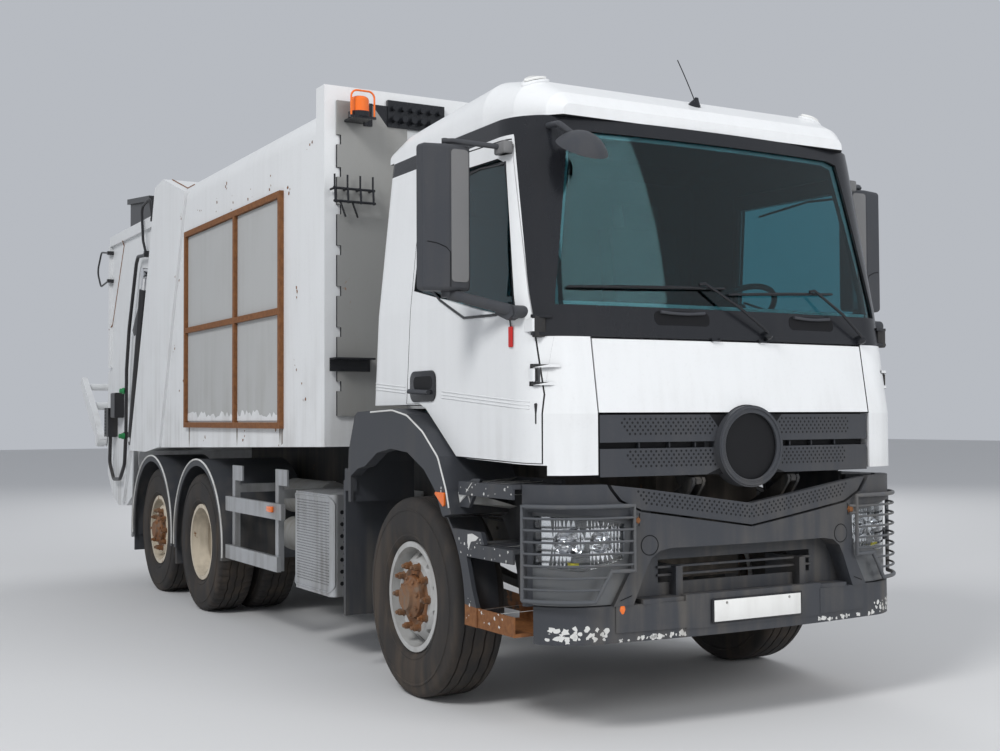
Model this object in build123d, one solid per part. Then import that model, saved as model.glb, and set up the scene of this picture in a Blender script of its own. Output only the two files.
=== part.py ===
"""Three-axle refuse collection truck with a rear-loading compactor body.

Millimetres. +X points forward, +Y to the driver's left, +Z up. The origin is on the ground,
below the middle of the bounding box. Places along the truck are counted from the front axle.
"""
from build123d import *
import math
import os

# Overall and running gear
FRONT_OVERHANG = 1410
OVERALL_LENGTH = 9400
WHEELBASE = 3700
BOGIE_SPREAD = 1350
TYRE_RADIUS = 530
SINGLE_TYRE_WIDTH = 310
TWIN_TYRE_WIDTH = 295
TWIN_SPACING = 345
SINGLE_OUTER_Y = 1200
TWIN_OUTER_Y = 1235
RIM_RADIUS = 297
HUB_BOLTS = 10
HUB_BOLT_CIRCLE = 335
KINGPIN_Y = 830

FRONT_AXLE_X = OVERALL_LENGTH / 2 - FRONT_OVERHANG
DRIVE_AXLE_X = FRONT_AXLE_X - WHEELBASE
TAG_AXLE_X = DRIVE_AXLE_X - BOGIE_SPREAD
AXLE_Z = TYRE_RADIUS
SINGLE_Y = SINGLE_OUTER_Y - SINGLE_TYRE_WIDTH / 2
TWIN_Y = TWIN_OUTER_Y - TWIN_TYRE_WIDTH / 2

# Clearances
RUNNING_GAP = 6
SEAT_GAP = 0.3
PIN_GAP = 0.5

# Chassis frame
RAIL_OUTER_Y = 417
RAIL_FLANGE = 75
RAIL_WEB = 9
RAIL_BOTTOM_Z = 770
RAIL_TOP_Z = 1040
RAIL_FRONT_X = FRONT_AXLE_X + 1040
RAIL_REAR_X = TAG_AXLE_X - 700

# Load body
BODY_HALF_WIDTH = 1250
BODY_WALL = 55
BODY_FRONT_X = FRONT_AXLE_X - 1066
BODY_TOP_Z = 3440
BODY_SIDE_INSET = 22
BODY_SHOULDER = 190
PORTAL_TOP_Z = 3525
PORTAL_DEPTH = 134
SILL_FRONT_Z = 1312
SILL_REAR_Z = 1245

# Cab
CAB_HALF_WIDTH = 1150
CAB_WALL = 60
CAB_FLOOR_Z = 1560
CAB_FLOOR = 50
CAB_ROOF_Z = 2935
CAB_TILT_X = FRONT_AXLE_X + 1326
CAB_TILT_Z = 1174
TILT_ARM_Y = 300
TILT_ARM_HALF = 16
TILT_PIN = 10
DOOR_GAP = 7
GLASS = 6
SHEET = 18


def fx(distance):
    """Place along the truck, counted forward from the front axle."""
    return FRONT_AXLE_X + distance


def span(x0, x1, y0, y1, z0, z1):
    """Box between two corners."""
    return Pos((x0 + x1) / 2, (y0 + y1) / 2, (z0 + z1) / 2) * Box(x1 - x0, y1 - y0, z1 - z0)


def side_slab(points, y0, y1):
    """Outline in X and Z, given a thickness from y0 to y1."""
    outline = Plane.XZ.offset(-y1) * Polygon(*points, align=None)
    return extrude(outline, amount=y1 - y0, dir=(0, -1, 0))


def front_slab(points, x0, x1):
    """Outline in Y and Z, given a depth from x0 to x1."""
    outline = Plane.YZ.offset(x0) * Polygon(*points, align=None)
    return extrude(outline, amount=x1 - x0, dir=(1, 0, 0))


def rod(start, end, radius):
    """Round bar between two points."""
    way = Vector(*end) - Vector(*start)
    return Solid.make_cylinder(radius, way.length, Plane(origin=Vector(*start), z_dir=way))


def pipe(points, bend, radius):
    """Bent round tube through points, with equal bends."""
    route = FilletPolyline(*points, radius=bend)
    section = Plane(origin=route @ 0, z_dir=route % 0) * Circle(radius)
    return sweep(section, path=route)


def other_side(shape):
    """The same piece on the other side of the truck."""
    return mirror(shape, about=Plane.XZ)


def both_sides(shape):
    return [shape, other_side(shape)]


def turned(profile, x, z):
    """Solid of revolution about an axle: profile rows are (y, radius)."""
    outline = Plane.YZ * Polygon(*profile, align=None)
    return Pos(x, 0, z) * revolve(outline, axis=Axis.Y)


def largest(shape):
    """The biggest of a shape's solids, without the slivers beside it."""
    return max(shape.solids(), key=lambda solid: solid.volume)


def solids_of(items):
    """Every separate solid in a list of shapes."""
    return [solid for item in items for solid in item.solids()]


# Wheels

def tyre(x, centre_y, width):
    half = width / 2
    shoulder = TYRE_RADIUS - 22
    bead = RIM_RADIUS - 14
    profile = [
        (centre_y - half + 35, bead),
        (centre_y - half + 35, bead + 12),
        (centre_y - half + 8, bead + 40),
        (centre_y - half, bead + 120),
        (centre_y - half + 14, shoulder),
        (centre_y - half + 34, TYRE_RADIUS),
        (centre_y + half - 34, TYRE_RADIUS),
        (centre_y + half - 14, shoulder),
        (centre_y + half, bead + 120),
        (centre_y + half - 8, bead + 40),
        (centre_y + half - 35, bead + 12),
        (centre_y + half - 35, bead),
    ]
    return turned(profile, x, AXLE_Z)


def bolt_ring(x, y, count, circle, radius, height):
    """Wheel nuts standing outwards from a hub face on the left side."""
    nuts = []
    for index in range(count):
        angle = 2 * math.pi * index / count
        px = x + circle / 2 * math.cos(angle)
        pz = AXLE_Z + circle / 2 * math.sin(angle)
        nuts.append(rod((px, y, pz), (px, y + height, pz), radius))
    return nuts


def hand_holes(x, y0, y1, count, circle, radius):
    holes = []
    for index in range(count):
        angle = 2 * math.pi * (index + 0.5) / count
        px = x + circle / 2 * math.cos(angle)
        pz = AXLE_Z + circle / 2 * math.sin(angle)
        holes.append(rod((px, y0, pz), (px, y1, pz), radius))
    return holes


def rim_barrel(x, centre_y, width):
    """Rim well and flanges that hold a tyre."""
    half = width / 2
    seat = RIM_RADIUS - 14 - SEAT_GAP
    profile = [
        (centre_y - half + 22, seat - 18),
        (centre_y - half + 22, seat + 10),
        (centre_y - half + 34.7, seat + 10),
        (centre_y - half + 34.7, seat),
        (centre_y + half - 34.7, seat),
        (centre_y + half - 34.7, seat + 10),
        (centre_y + half - 22, seat + 10),
        (centre_y + half - 22, seat - 18),
        (centre_y + half - 70, seat - 24),
        (centre_y, seat - 42),
        (centre_y - half + 70, seat - 24),
    ]
    return turned(profile, x, AXLE_Z)


def steer_wheel_rim(x):
    """Outset steel disc wheel with round hand holes and a long hub."""
    face = SINGLE_OUTER_Y - 38
    barrel = rim_barrel(x, SINGLE_Y, SINGLE_TYRE_WIDTH)
    seat = RIM_RADIUS - 14 - SEAT_GAP
    disc = turned(
        [
            (face - 112, seat - 30),
            (face - 62, seat - 36),
            (face - 16, 205),
            (face, 190),
            (face, 118),
            (face - 14, 118),
            (face - 14, 186),
            (face - 30, 198),
            (face - 78, seat - 50),
            (face - 112, seat - 52),
        ],
        x,
        AXLE_Z,
    )
    for hole in hand_holes(x, face - 140, face + 10, 10, 438, 20):
        disc -= hole
    hub = turned(
        [
            (face - 120, 60), (face - 120, 150), (face - 14 - SEAT_GAP, 150),
            (face - 14 - SEAT_GAP, 112), (face + 26, 112), (face + 48, 74),
            (face + 66, 66), (face + 66, 0), (face - 70, 0), (face - 70, 60),
        ],
        x,
        AXLE_Z,
    )
    rim = barrel + disc + hub
    for nut in bolt_ring(x, face - 1, HUB_BOLTS, HUB_BOLT_CIRCLE, 17, 36):
        rim += nut
    return rim


def dish(x, mating_y, way):
    """Disc of a twin wheel: flat at the hub, then out to its own rim barrel."""
    seat = RIM_RADIUS - 14 - SEAT_GAP
    rows = [
        (SEAT_GAP, 118), (14, 118), (14, 188), (34, 206), (108, seat - 52), (150, seat - 46),
        (150, seat - 26), (98, seat - 34), (20, 216), (SEAT_GAP, 200),
    ]
    disc = turned([(mating_y + way * depth, radius) for depth, radius in rows], x, AXLE_Z)
    for hole in hand_holes(x, mating_y - 120, mating_y + 120, 10, 446, 19):
        disc -= hole
    return disc


def drive_wheel_rim(x):
    """Twin wheels: two rims back to back on one hub, the outer dish deep."""
    mating_y = TWIN_Y - TWIN_SPACING / 2
    outer = rim_barrel(x, TWIN_Y, TWIN_TYRE_WIDTH) + dish(x, mating_y, 1)
    inner = rim_barrel(x, TWIN_Y - TWIN_SPACING, TWIN_TYRE_WIDTH) + dish(x, mating_y, -1)
    face = mating_y + 14
    for nut in bolt_ring(x, face - 1, HUB_BOLTS, HUB_BOLT_CIRCLE, 17, 34):
        outer += nut
    hub = turned(
        [
            (face - 150, 82), (face - 150, 150), (face - 28 - SEAT_GAP, 150),
            (face - 28 - SEAT_GAP, 112), (face + 70, 108), (face + 92, 92), (face + 104, 70),
            (face + 104, 0), (face + 20, 0), (face + 20, 82),
        ],
        x,
        AXLE_Z,
    )
    return [outer, inner, hub]


# Axles, knuckles and springs

BRAKE_Y = KINGPIN_Y + 84
KINGPIN_RADIUS = 22
EYE_RADIUS = 48
EYE_HALF = 70
EAR_TOP = 128
BEAM_TOP_Z = 490


def knuckle(x):
    """Forked knuckle with its brake disc, caliper, stub axle and steering arm, left side."""
    low = EYE_HALF + RUNNING_GAP
    fork = None
    for z0, z1 in ((AXLE_Z + low, AXLE_Z + EAR_TOP), (AXLE_Z - EAR_TOP, AXLE_Z - low)):
        ear = rod((x, KINGPIN_Y, z0), (x, KINGPIN_Y, z1), EYE_RADIUS + 4)
        ear += span(x - 50, x + 50, KINGPIN_Y, KINGPIN_Y + 84, z0, z1)
        ear -= rod((x, KINGPIN_Y, z0 - 5), (x, KINGPIN_Y, z1 + 5), KINGPIN_RADIUS + PIN_GAP)
        fork = ear if fork is None else fork + ear
    cheek = KINGPIN_Y + EYE_RADIUS + RUNNING_GAP
    fork += span(x - 62, x + 62, cheek, KINGPIN_Y + 84, AXLE_Z - EAR_TOP, AXLE_Z + EAR_TOP)
    disc = rod((x, BRAKE_Y, AXLE_Z), (x, BRAKE_Y + 40, AXLE_Z), 200)
    caliper = span(x + 60, x + 190, KINGPIN_Y + 20, BRAKE_Y + 52, AXLE_Z - 90, AXLE_Z + 90)
    stub = rod((x, cheek, AXLE_Z), (x, SINGLE_OUTER_Y - 115, AXLE_Z), 60 - PIN_GAP)
    arm = span(x - 200, x - 40, KINGPIN_Y + 30, KINGPIN_Y + 70, AXLE_Z - 118, AXLE_Z - 82)
    return fork + disc + caliper + stub + arm


def dropped_axle(x):
    """Forged beam with an eye and a kingpin at each end."""
    drop = BEAM_TOP_Z - 110
    outline = [
        (-KINGPIN_Y, AXLE_Z - 40), (-KINGPIN_Y, AXLE_Z + 40), (-KINGPIN_Y + 110, AXLE_Z + 40),
        (-500, BEAM_TOP_Z), (500, BEAM_TOP_Z), (KINGPIN_Y - 110, AXLE_Z + 40),
        (KINGPIN_Y, AXLE_Z + 40), (KINGPIN_Y, AXLE_Z - 40), (KINGPIN_Y - 110, AXLE_Z - 70),
        (430, drop), (-430, drop), (-KINGPIN_Y + 110, AXLE_Z - 70),
    ]
    beam = front_slab(outline, x - 45, x + 45)
    for side in (-1, 1):
        y = side * KINGPIN_Y
        beam += rod((x, y, AXLE_Z - EYE_HALF), (x, y, AXLE_Z + EYE_HALF), EYE_RADIUS)
        beam += rod((x, y, AXLE_Z - EAR_TOP), (x, y, AXLE_Z + EAR_TOP), KINGPIN_RADIUS)
    return beam


def drive_axle():
    """Banjo housing with its differential and brake drums' backs."""
    hub_end = TWIN_Y - TWIN_SPACING / 2 - 100
    tube = rod((DRIVE_AXLE_X, -hub_end, AXLE_Z), (DRIVE_AXLE_X, hub_end, AXLE_Z), 75)
    ball = Pos(DRIVE_AXLE_X, 0, AXLE_Z) * Sphere(215)
    nose = rod((DRIVE_AXLE_X, 0, AXLE_Z), (DRIVE_AXLE_X + 330, 0, AXLE_Z + 40), 110)
    for side in (-1, 1):
        tube += rod((DRIVE_AXLE_X, side * (hub_end - 60), AXLE_Z),
                    (DRIVE_AXLE_X, side * (hub_end + 105), AXLE_Z), 82 - PIN_GAP)
    return tube + ball + nose


def leaf_spring(x, y, length, seat_z):
    """Curved leaf pack, its clamp on the axle and its two frame brackets."""
    camber = 90
    leaf = 46
    eye_z = seat_z + camber
    points = [
        (x - length / 2, eye_z), (x - length / 4, seat_z + camber * 0.3), (x - 90, seat_z),
        (x + 90, seat_z), (x + length / 4, seat_z + camber * 0.3), (x + length / 2, eye_z),
        (x + length / 2, eye_z + leaf), (x + length / 4, seat_z + camber * 0.3 + leaf),
        (x + 90, seat_z + leaf), (x - 90, seat_z + leaf),
        (x - length / 4, seat_z + camber * 0.3 + leaf), (x - length / 2, eye_z + leaf),
    ]
    pack = side_slab(points, y - 42, y + 42)
    clamp = span(x - 75, x + 75, y - 52, y + 52, seat_z - 8, seat_z + leaf + 30)
    hangers = [
        span(end - 35, end + 35, y - 46, y + 46, eye_z, RAIL_BOTTOM_Z - SEAT_GAP)
        for end in (x - length / 2 + 30, x + length / 2 - 30)
    ]
    return pack + clamp + hangers[0] + hangers[1]


def air_bellows(x, y, seat_z):
    """Air spring between the axle and the frame rail."""
    low = seat_z + SEAT_GAP
    high = RAIL_BOTTOM_Z - SEAT_GAP
    middle = (low + high) / 2
    return turned_z([(0, low), (95, low), (118, (low + middle) / 2), (100, middle),
                     (118, (high + middle) / 2), (95, high), (0, high)], x, y)


def turned_z(profile, x, y):
    """Solid of revolution about an upright axis: profile rows are (radius, z)."""
    outline = Plane.XZ * Polygon(*profile, align=None)
    return Pos(x, y, 0) * revolve(outline, axis=Axis.Z)


# Chassis

CROSSMEMBERS = (-1250, -2350, -3100, -4350, -5500)


def chassis_frame():
    rails = []
    for side in (-1, 1):
        outer = side * RAIL_OUTER_Y
        inner = side * (RAIL_OUTER_Y - RAIL_FLANGE)
        low, high = min(outer, inner), max(outer, inner)
        rail = span(RAIL_REAR_X, RAIL_FRONT_X, low, high, RAIL_BOTTOM_Z, RAIL_TOP_Z)
        web = side * (RAIL_OUTER_Y - RAIL_WEB)
        cut_low, cut_high = min(web, side * 300), max(web, side * 300)
        rail -= span(RAIL_REAR_X - 1, RAIL_FRONT_X + 1, cut_low, cut_high,
                     RAIL_BOTTOM_Z + RAIL_WEB, RAIL_TOP_Z - RAIL_WEB)
        rails.append(rail)
    frame = rails[0] + rails[1]
    middle_z = (RAIL_BOTTOM_Z + RAIL_TOP_Z) / 2
    reach = RAIL_OUTER_Y - RAIL_WEB / 2
    for place in CROSSMEMBERS:
        frame += rod((fx(place), -reach, middle_z), (fx(place), reach, middle_z), 48)
    frame += span(RAIL_FRONT_X - 90, RAIL_FRONT_X, -reach, reach, RAIL_BOTTOM_Z, RAIL_TOP_Z)
    frame += span(RAIL_REAR_X, RAIL_REAR_X + 60, -reach, reach, RAIL_BOTTOM_Z, RAIL_TOP_Z)
    for side in (-1, 1):
        low = min(side * RAIL_OUTER_Y, side * (RAIL_OUTER_Y - RAIL_FLANGE))
        subframe = side_slab(
            [
                (BODY_FRONT_X - 60, RAIL_TOP_Z - 1),
                (BODY_FRONT_X - 60, sill_z(BODY_FRONT_X - 60) - SEAT_GAP),
                (fx(-4840), sill_z(fx(-4840)) - SEAT_GAP), (fx(-4840), RAIL_TOP_Z - 1),
            ],
            low,
            low + RAIL_FLANGE,
        )
        frame += subframe
        inner_ear = TILT_ARM_Y - TILT_ARM_HALF - RUNNING_GAP - 16
        outer_ear = TILT_ARM_Y + TILT_ARM_HALF + RUNNING_GAP
        for ear in (inner_ear, outer_ear):
            y0, y1 = sorted((side * ear, side * (ear + 16)))
            frame += side_slab([(RAIL_FRONT_X - 20, RAIL_BOTTOM_Z), (RAIL_FRONT_X - 20, 1030),
                                (fx(1200), 1120), (CAB_TILT_X - 22, CAB_TILT_Z + 6),
                                (CAB_TILT_X - 12, CAB_TILT_Z + 18), (CAB_TILT_X + 12, CAB_TILT_Z + 18),
                                (CAB_TILT_X + 19, CAB_TILT_Z), (CAB_TILT_X + 10, CAB_TILT_Z - 22),
                                (fx(1285), 1090), (fx(1200), 900)], y0, y1)
        y0, y1 = sorted((side * inner_ear, side * (outer_ear + 16)))
        frame += rod((CAB_TILT_X, y0, CAB_TILT_Z), (CAB_TILT_X, y1, CAB_TILT_Z), TILT_PIN)
    return frame


def tilt_arm():
    """Arm that carries the cab's front on its tilt bearing, left side."""
    low = TILT_ARM_Y - TILT_ARM_HALF
    high = TILT_ARM_Y + TILT_ARM_HALF
    arm = side_slab([(CAB_TILT_X + 16, CAB_TILT_Z - 12), (CAB_TILT_X + 18, CAB_TILT_Z + 8),
                     (CAB_TILT_X + 6, CAB_TILT_Z + 19), (fx(1254), 1196), (fx(1180), 1330),
                     (fx(1165), CAB_FLOOR_Z + 20), (fx(1085), CAB_FLOOR_Z + 20), (fx(1110), 1290),
                     (fx(1200), 1150), (CAB_TILT_X - 4, CAB_TILT_Z - 19)], low, high)
    return arm - rod((CAB_TILT_X, low - 1, CAB_TILT_Z), (CAB_TILT_X, high + 1, CAB_TILT_Z),
                     TILT_PIN + PIN_GAP)


def driveline():
    """Engine and gearbox as plain blocks, and the propeller shaft."""
    engine = span(fx(-180), fx(930), -270, 270, 660, 1385)
    gearbox = span(fx(-980), fx(-180), -200, 200, 640, 1000)
    shaft = rod((fx(-980), 0, 790), (DRIVE_AXLE_X + 334, 0, AXLE_Z + 40), 55)
    mounts = span(fx(-520), fx(-440), -RAIL_OUTER_Y + RAIL_WEB + SEAT_GAP,
                  RAIL_OUTER_Y - RAIL_WEB - SEAT_GAP, 850, 900)
    return engine + gearbox + shaft + mounts


def radiator():
    return span(fx(950), fx(1030), -325, 325, RAIL_TOP_Z + SEAT_GAP, 1400)


# Load body

REAR_SEAM = ((-4970, 3500), (-5262, 2630), (-5810, 1225))
REAR_FOLD = ((-4050, 3325), (-4840, 1252))
TAILGATE_GAP = 26
INNER_HALF = BODY_HALF_WIDTH - BODY_SIDE_INSET


def seam_x(z):
    """Place of the body's rear edge at a height on its upper, steeper part."""
    (top_x, top_z), (bend_x, bend_z) = REAR_SEAM[:2]
    return fx(top_x + (bend_x - top_x) * (top_z - z) / (top_z - bend_z))


def seam_points(shift):
    return [(fx(x - shift), z) for x, z in REAR_SEAM]


def sill_z(x):
    """Height of the body's lower edge, which falls a little towards the rear."""
    run = (BODY_FRONT_X - x) / (BODY_FRONT_X - fx(-4850))
    return SILL_FRONT_Z + (SILL_REAR_Z - SILL_FRONT_Z) * run


def body_outline(half, top, shoulder, low):
    """Cross-section of the load body: upright sides and rounded shoulders."""
    base = Plane.YZ * Rectangle(2 * half, top - low, align=(Align.CENTER, Align.MIN))
    section = Pos(0, 0, low) * base
    corners = section.vertices().sort_by(Axis.Z)[-2:]
    return fillet(corners, shoulder)


def load_body():
    """Hollow body with square front and rear portals and a sloping rear opening."""
    rear = fx(-5900)
    front = BODY_FRONT_X
    tube = extrude(Pos(rear, 0, 0) * body_outline(INNER_HALF, BODY_TOP_Z, BODY_SHOULDER, 1200),
                   amount=front - rear, dir=(1, 0, 0))
    front_portal = span(front - PORTAL_DEPTH, front, -BODY_HALF_WIDTH, BODY_HALF_WIDTH,
                        1200, PORTAL_TOP_Z)
    fold_top, fold_low = REAR_FOLD
    band = side_slab(
        [
            (fx(fold_top[0]), fold_top[1]), (fx(-4700), PORTAL_TOP_Z + 5),
            *seam_points(0), (fx(-5810), 1200), (fx(fold_low[0]), 1200),
        ],
        -BODY_HALF_WIDTH,
        BODY_HALF_WIDTH,
    )
    shell = tube + front_portal + band
    hollow = extrude(
        Pos(rear - 10, 0, 0) * body_outline(INNER_HALF - BODY_WALL, BODY_TOP_Z - BODY_WALL,
                                            BODY_SHOULDER - BODY_WALL, SILL_FRONT_Z + 75),
        amount=front - BODY_WALL - rear + 10, dir=(1, 0, 0))
    shell -= hollow
    behind = side_slab(
        [*seam_points(0), (fx(-5810), 1100), (fx(-6200), 1100), (fx(-6200), 3700),
         (fx(-4970), 3700)],
        -1400, 1400)
    shell -= behind
    below = side_slab(
        [(front + 50, 1100), (front + 50, SILL_FRONT_Z), (front, SILL_FRONT_Z),
         (fx(-4850), SILL_REAR_Z), (fx(-5700), 1150), (fx(-6000), 1150), (fx(-6000), 1100)],
        -1400, 1400)
    shell -= below
    for side in (-1, 1):
        y0, y1 = sorted((side * (TAILGATE_HALF + RUNNING_GAP), side * (TAILGATE_HALF + 16)))
        foot = side_slab([(fx(-5560), 1260), (fx(-5560), 1480), (fx(-5700), 1480),
                          (fx(-5940), 1345), (fx(-5940), 1250)], y0, y1)
        shell += foot
        shell += rod((fx(RAM_FOOT[0]), side * (TAILGATE_HALF + 10), RAM_FOOT[1]),
                     (fx(RAM_FOOT[0]), side * (RAM_Y + 32), RAM_FOOT[1]), 25)
        for ear_y in (HINGE_Y - HINGE_LUG - 22, HINGE_Y + HINGE_LUG + RUNNING_GAP):
            e0, e1 = sorted((side * ear_y, side * (ear_y + 16)))
            shell += side_slab([(fx(-4900), 3400), (fx(-4900), 3520), (HINGE_X - 30, 3515),
                                (HINGE_X - 45, HINGE_Z), (HINGE_X - 25, 3428)], e0, e1)
        p0, p1 = sorted((side * (HINGE_Y - HINGE_LUG - 22), side * (HINGE_Y + HINGE_LUG + 22)))
        shell += rod((HINGE_X, p0, HINGE_Z), (HINGE_X, p1, HINGE_Z), HINGE_PIN)
    return shell


# Rust-brown angle frames that once held panels on the body's sides

FRAME_X = (-4030, -2790, -1850)
FRAME_Z = (1440, 2195, 2970)
FRAME_BAR = 42
FRAME_PROUD = 30


def side_frame():
    """Angle-iron frame on the right side of the body, two by two fields."""
    y0 = -(INNER_HALF + SEAT_GAP + FRAME_PROUD)
    y1 = -(INNER_HALF + SEAT_GAP)
    x_low, x_mid, x_high = (fx(x) for x in FRAME_X)
    z_low, z_mid, z_high = FRAME_Z
    half = FRAME_BAR / 2
    bars = span(x_low - half, x_high + half, y0, y1, z_low - half, z_high + half)
    for x0, x1 in ((x_low, x_mid), (x_mid, x_high)):
        for z0, z1 in ((z_low, z_mid), (z_mid, z_high)):
            bars -= span(x0 + half, x1 - half, y0 - 1, y1 + 1, z0 + half, z1 - half)
    return bars


# Tailgate

HINGE_X = fx(-5040)
HINGE_Z = 3470
HINGE_Y = 520
HINGE_LUG = 30
HINGE_PIN = 24
TAILGATE_HALF = 1150
TAILGATE_WALL = 50
TAIL_REAR_X = -7000
TAIL_FRONT_Z = 3235
TAIL_TOP_Z = 3285
TAIL_RIB = 28
SILL_X = -7110
SILL_TOP_Z = 1150
LIFT_PIVOT_X = fx(-7180)
LIFT_PIVOT_Z = 1290


def tailgate_outline(inset):
    """Side view of the tailgate and its hopper, in from the edges by inset."""
    front = seam_points(TAILGATE_GAP + inset)
    roof_x = seam_x(TAIL_FRONT_Z) - TAILGATE_GAP - inset
    rear = fx(TAIL_REAR_X + inset)
    sill = fx(SILL_X + inset)
    return [
        (roof_x, TAIL_FRONT_Z - inset), front[1], (front[2][0] - 16, 1185 + inset * 0.5),
        (fx(-6060 - inset * 0.3), 790 + inset), (fx(-6330), 665 + inset),
        (fx(-6640), 650 + inset), (fx(-6900), 745 + inset), (sill, 950 + inset),
        (sill, 1960), (rear, 2000), (rear, TAIL_TOP_Z - inset),
    ]


def tailgate():
    """Hollow tailgate: side walls, roof, upper rear panel and the hopper below the opening."""
    half = TAILGATE_HALF
    shell = side_slab(tailgate_outline(0), -half, half)
    shell -= side_slab(tailgate_outline(TAILGATE_WALL), -half + TAILGATE_WALL, half - TAILGATE_WALL)
    shell -= side_slab([(fx(-4900), 3180), (fx(-5400), 3180), (fx(-5340), 2630), (fx(-5840), 1260),
                        (fx(-5700), 1200), (fx(-4900), 2600)], -half + TAILGATE_WALL,
                       half - TAILGATE_WALL)
    shell -= span(fx(SILL_X) - 20, fx(TAIL_REAR_X) + 160, -half + TAILGATE_WALL,
                  half - TAILGATE_WALL, SILL_TOP_Z, 2430)
    for side in (-1, 1):
        y = side * HINGE_Y
        lug = side_slab([(HINGE_X - 30, HINGE_Z + 44), (HINGE_X + 20, HINGE_Z + 40),
                         (HINGE_X + 44, HINGE_Z), (HINGE_X + 30, HINGE_Z - 38),
                         (HINGE_X - 60, TAIL_FRONT_Z - 10), (HINGE_X - 420, TAIL_FRONT_Z - 10),
                         (HINGE_X - 420, TAIL_FRONT_Z + 40)],
                        y - HINGE_LUG, y + HINGE_LUG)
        shell += lug
        shell -= rod((HINGE_X, y - 40, HINGE_Z), (HINGE_X, y + 40, HINGE_Z), HINGE_PIN + PIN_GAP)
        y0, y1 = sorted((side * (TAILGATE_HALF - 5), side * (TAILGATE_HALF + 22)))
        shell += rod((fx(RAM_HEAD[0]), y0, RAM_HEAD[1]), (fx(RAM_HEAD[0]), y1, RAM_HEAD[1]), 72)
        y0, y1 = sorted((side * (TAILGATE_HALF - 60), side * (LIFT_ARM_Y + 45)))
        shell += side_slab([(fx(-6900), 1180), (fx(-6900), 1420), (LIFT_PIVOT_X - 20, 1380),
                            (LIFT_PIVOT_X - 60, LIFT_PIVOT_Z), (LIFT_PIVOT_X - 10, 1215)],
                           *sorted((side * (TAILGATE_HALF - 60), side * (TAILGATE_HALF - 1))))
        shell += rod((LIFT_PIVOT_X, y0, LIFT_PIVOT_Z), (LIFT_PIVOT_X, y1, LIFT_PIVOT_Z), 32)
    ribs = [
        side_slab([(fx(TAIL_REAR_X), 2005), (fx(TAIL_REAR_X), 3225), (fx(TAIL_REAR_X + 62), 3225),
                   (fx(TAIL_REAR_X + 62), 2005)], -half - TAIL_RIB, -half + 1),
        side_slab([(fx(-6940), 3215), (fx(-6940), 3312), (fx(-5340), 3312), (fx(-5340), 3215)],
                  -half - TAIL_RIB, -half + 1),
        side_slab([(fx(-6070), 1262), (fx(-6110), 1262), (fx(-6430), 700), (fx(-6380), 690)],
                  -half - TAIL_RIB, -half + 1),
    ]
    for rib in ribs:
        shell += rib
        shell += other_side(rib)
    packer = side_slab([(fx(-5950), 2450), (fx(-5990), 2450), (fx(-6220), 1750), (fx(-6120), 1000),
                        (fx(-6060), 1000), (fx(-6150), 1750)], -1060, 1060)
    packer += rod((fx(-5975), -half + 10, 2440), (fx(-5975), half - 10, 2440), 45)
    return shell + packer


HOSE_Y = 1200
HOSE_CLAMP = 17
# side view points of each pipe or hose on the tailgate's right side, bend radius, hose radius
TAIL_HOSES = (
    (((-5462, 2968), (-5735, 2985), (-5800, 2925), (-6060, 2335), (-6150, 1960), (-6168, 1330)),
     45, 16),
    (((-5240, 3262), (-5330, 3470), (-5620, 3420), (-5560, 3110), (-5462, 2990)), 70, 12),
    (((-6905, 3150), (-7210, 3190), (-7390, 3010), (-7230, 2840), (-6905, 2870)), 80, 9),
    (((-6790, 1330), (-6815, 1060), (-6640, 905), (-6390, 915), (-6215, 1060), (-6168, 1350)),
     90, 17),
)


def tail_pipes():
    """Pipes and hoses on the tailgate's right side, each held by a clamp at both ends."""
    tubes = None
    for points, bend, radius in TAIL_HOSES:
        tube = pipe([(fx(x), -HOSE_Y, z) for x, z in points], bend, radius)
        for x, z in (points[0], points[-1]):
            tube += span(fx(x) - HOSE_CLAMP, fx(x) + HOSE_CLAMP, -HOSE_Y - radius - 4,
                         -TAILGATE_HALF - SEAT_GAP, z - HOSE_CLAMP, z + HOSE_CLAMP)
        tubes = tube if tubes is None else tubes + tube
    return solids_of([tubes])


def tail_fittings():
    """Lamp boxes, pipes, hoses, gusset and the upright cover on the tailgate, right side."""
    half = TAILGATE_HALF + SEAT_GAP
    white_box = fillet(span(fx(-6600), fx(-6440), -1244, -half, 1502, 1745).edges().filter_by(
        Axis.X), 14)
    dark_box = span(fx(-6860), fx(-6700), -1244, -half, 1318, 1600)
    for z in range(1345, 1590, 30):
        dark_box -= span(fx(-6850), fx(-6710), -1250, -1236, z, z + 12)
    gusset = side_slab([(fx(-5560), 2860), (fx(-6100), 2330), (fx(-6050), 2275),
                        (fx(-5760), 2330), (fx(-5560), 2560)], -half - 9, -half)
    cover = side_slab([(fx(-6350), TAIL_TOP_Z + SEAT_GAP), (fx(-6350), 3590), (fx(-5560), 3510),
                       (fx(-5560), TAIL_TOP_Z + SEAT_GAP)], -1120, -1100)
    cover += side_slab([(fx(-6360), 3560), (fx(-6360), 3610), (fx(-5550), 3528), (fx(-5550), 3478)],
                       -1150, -1092)
    cover += span(fx(-6350), fx(-6330), -1120, -700, TAIL_TOP_Z + SEAT_GAP, 3590)
    return [white_box, dark_box, gusset, cover]


# Lift cylinders between the body's lower rear corners and the tailgate's sides

RAM_FOOT = (-5885, 1300)
RAM_HEAD = (-5440, 2800)
RAM_Y = 1210
RAM_RADIUS = 42
RAM_ROD = 30


def ram_direction():
    foot = Vector(fx(RAM_FOOT[0]), RAM_Y, RAM_FOOT[1])
    head = Vector(fx(RAM_HEAD[0]), RAM_Y, RAM_HEAD[1])
    way = head - foot
    return foot, head, way.normalized(), way.length


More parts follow.
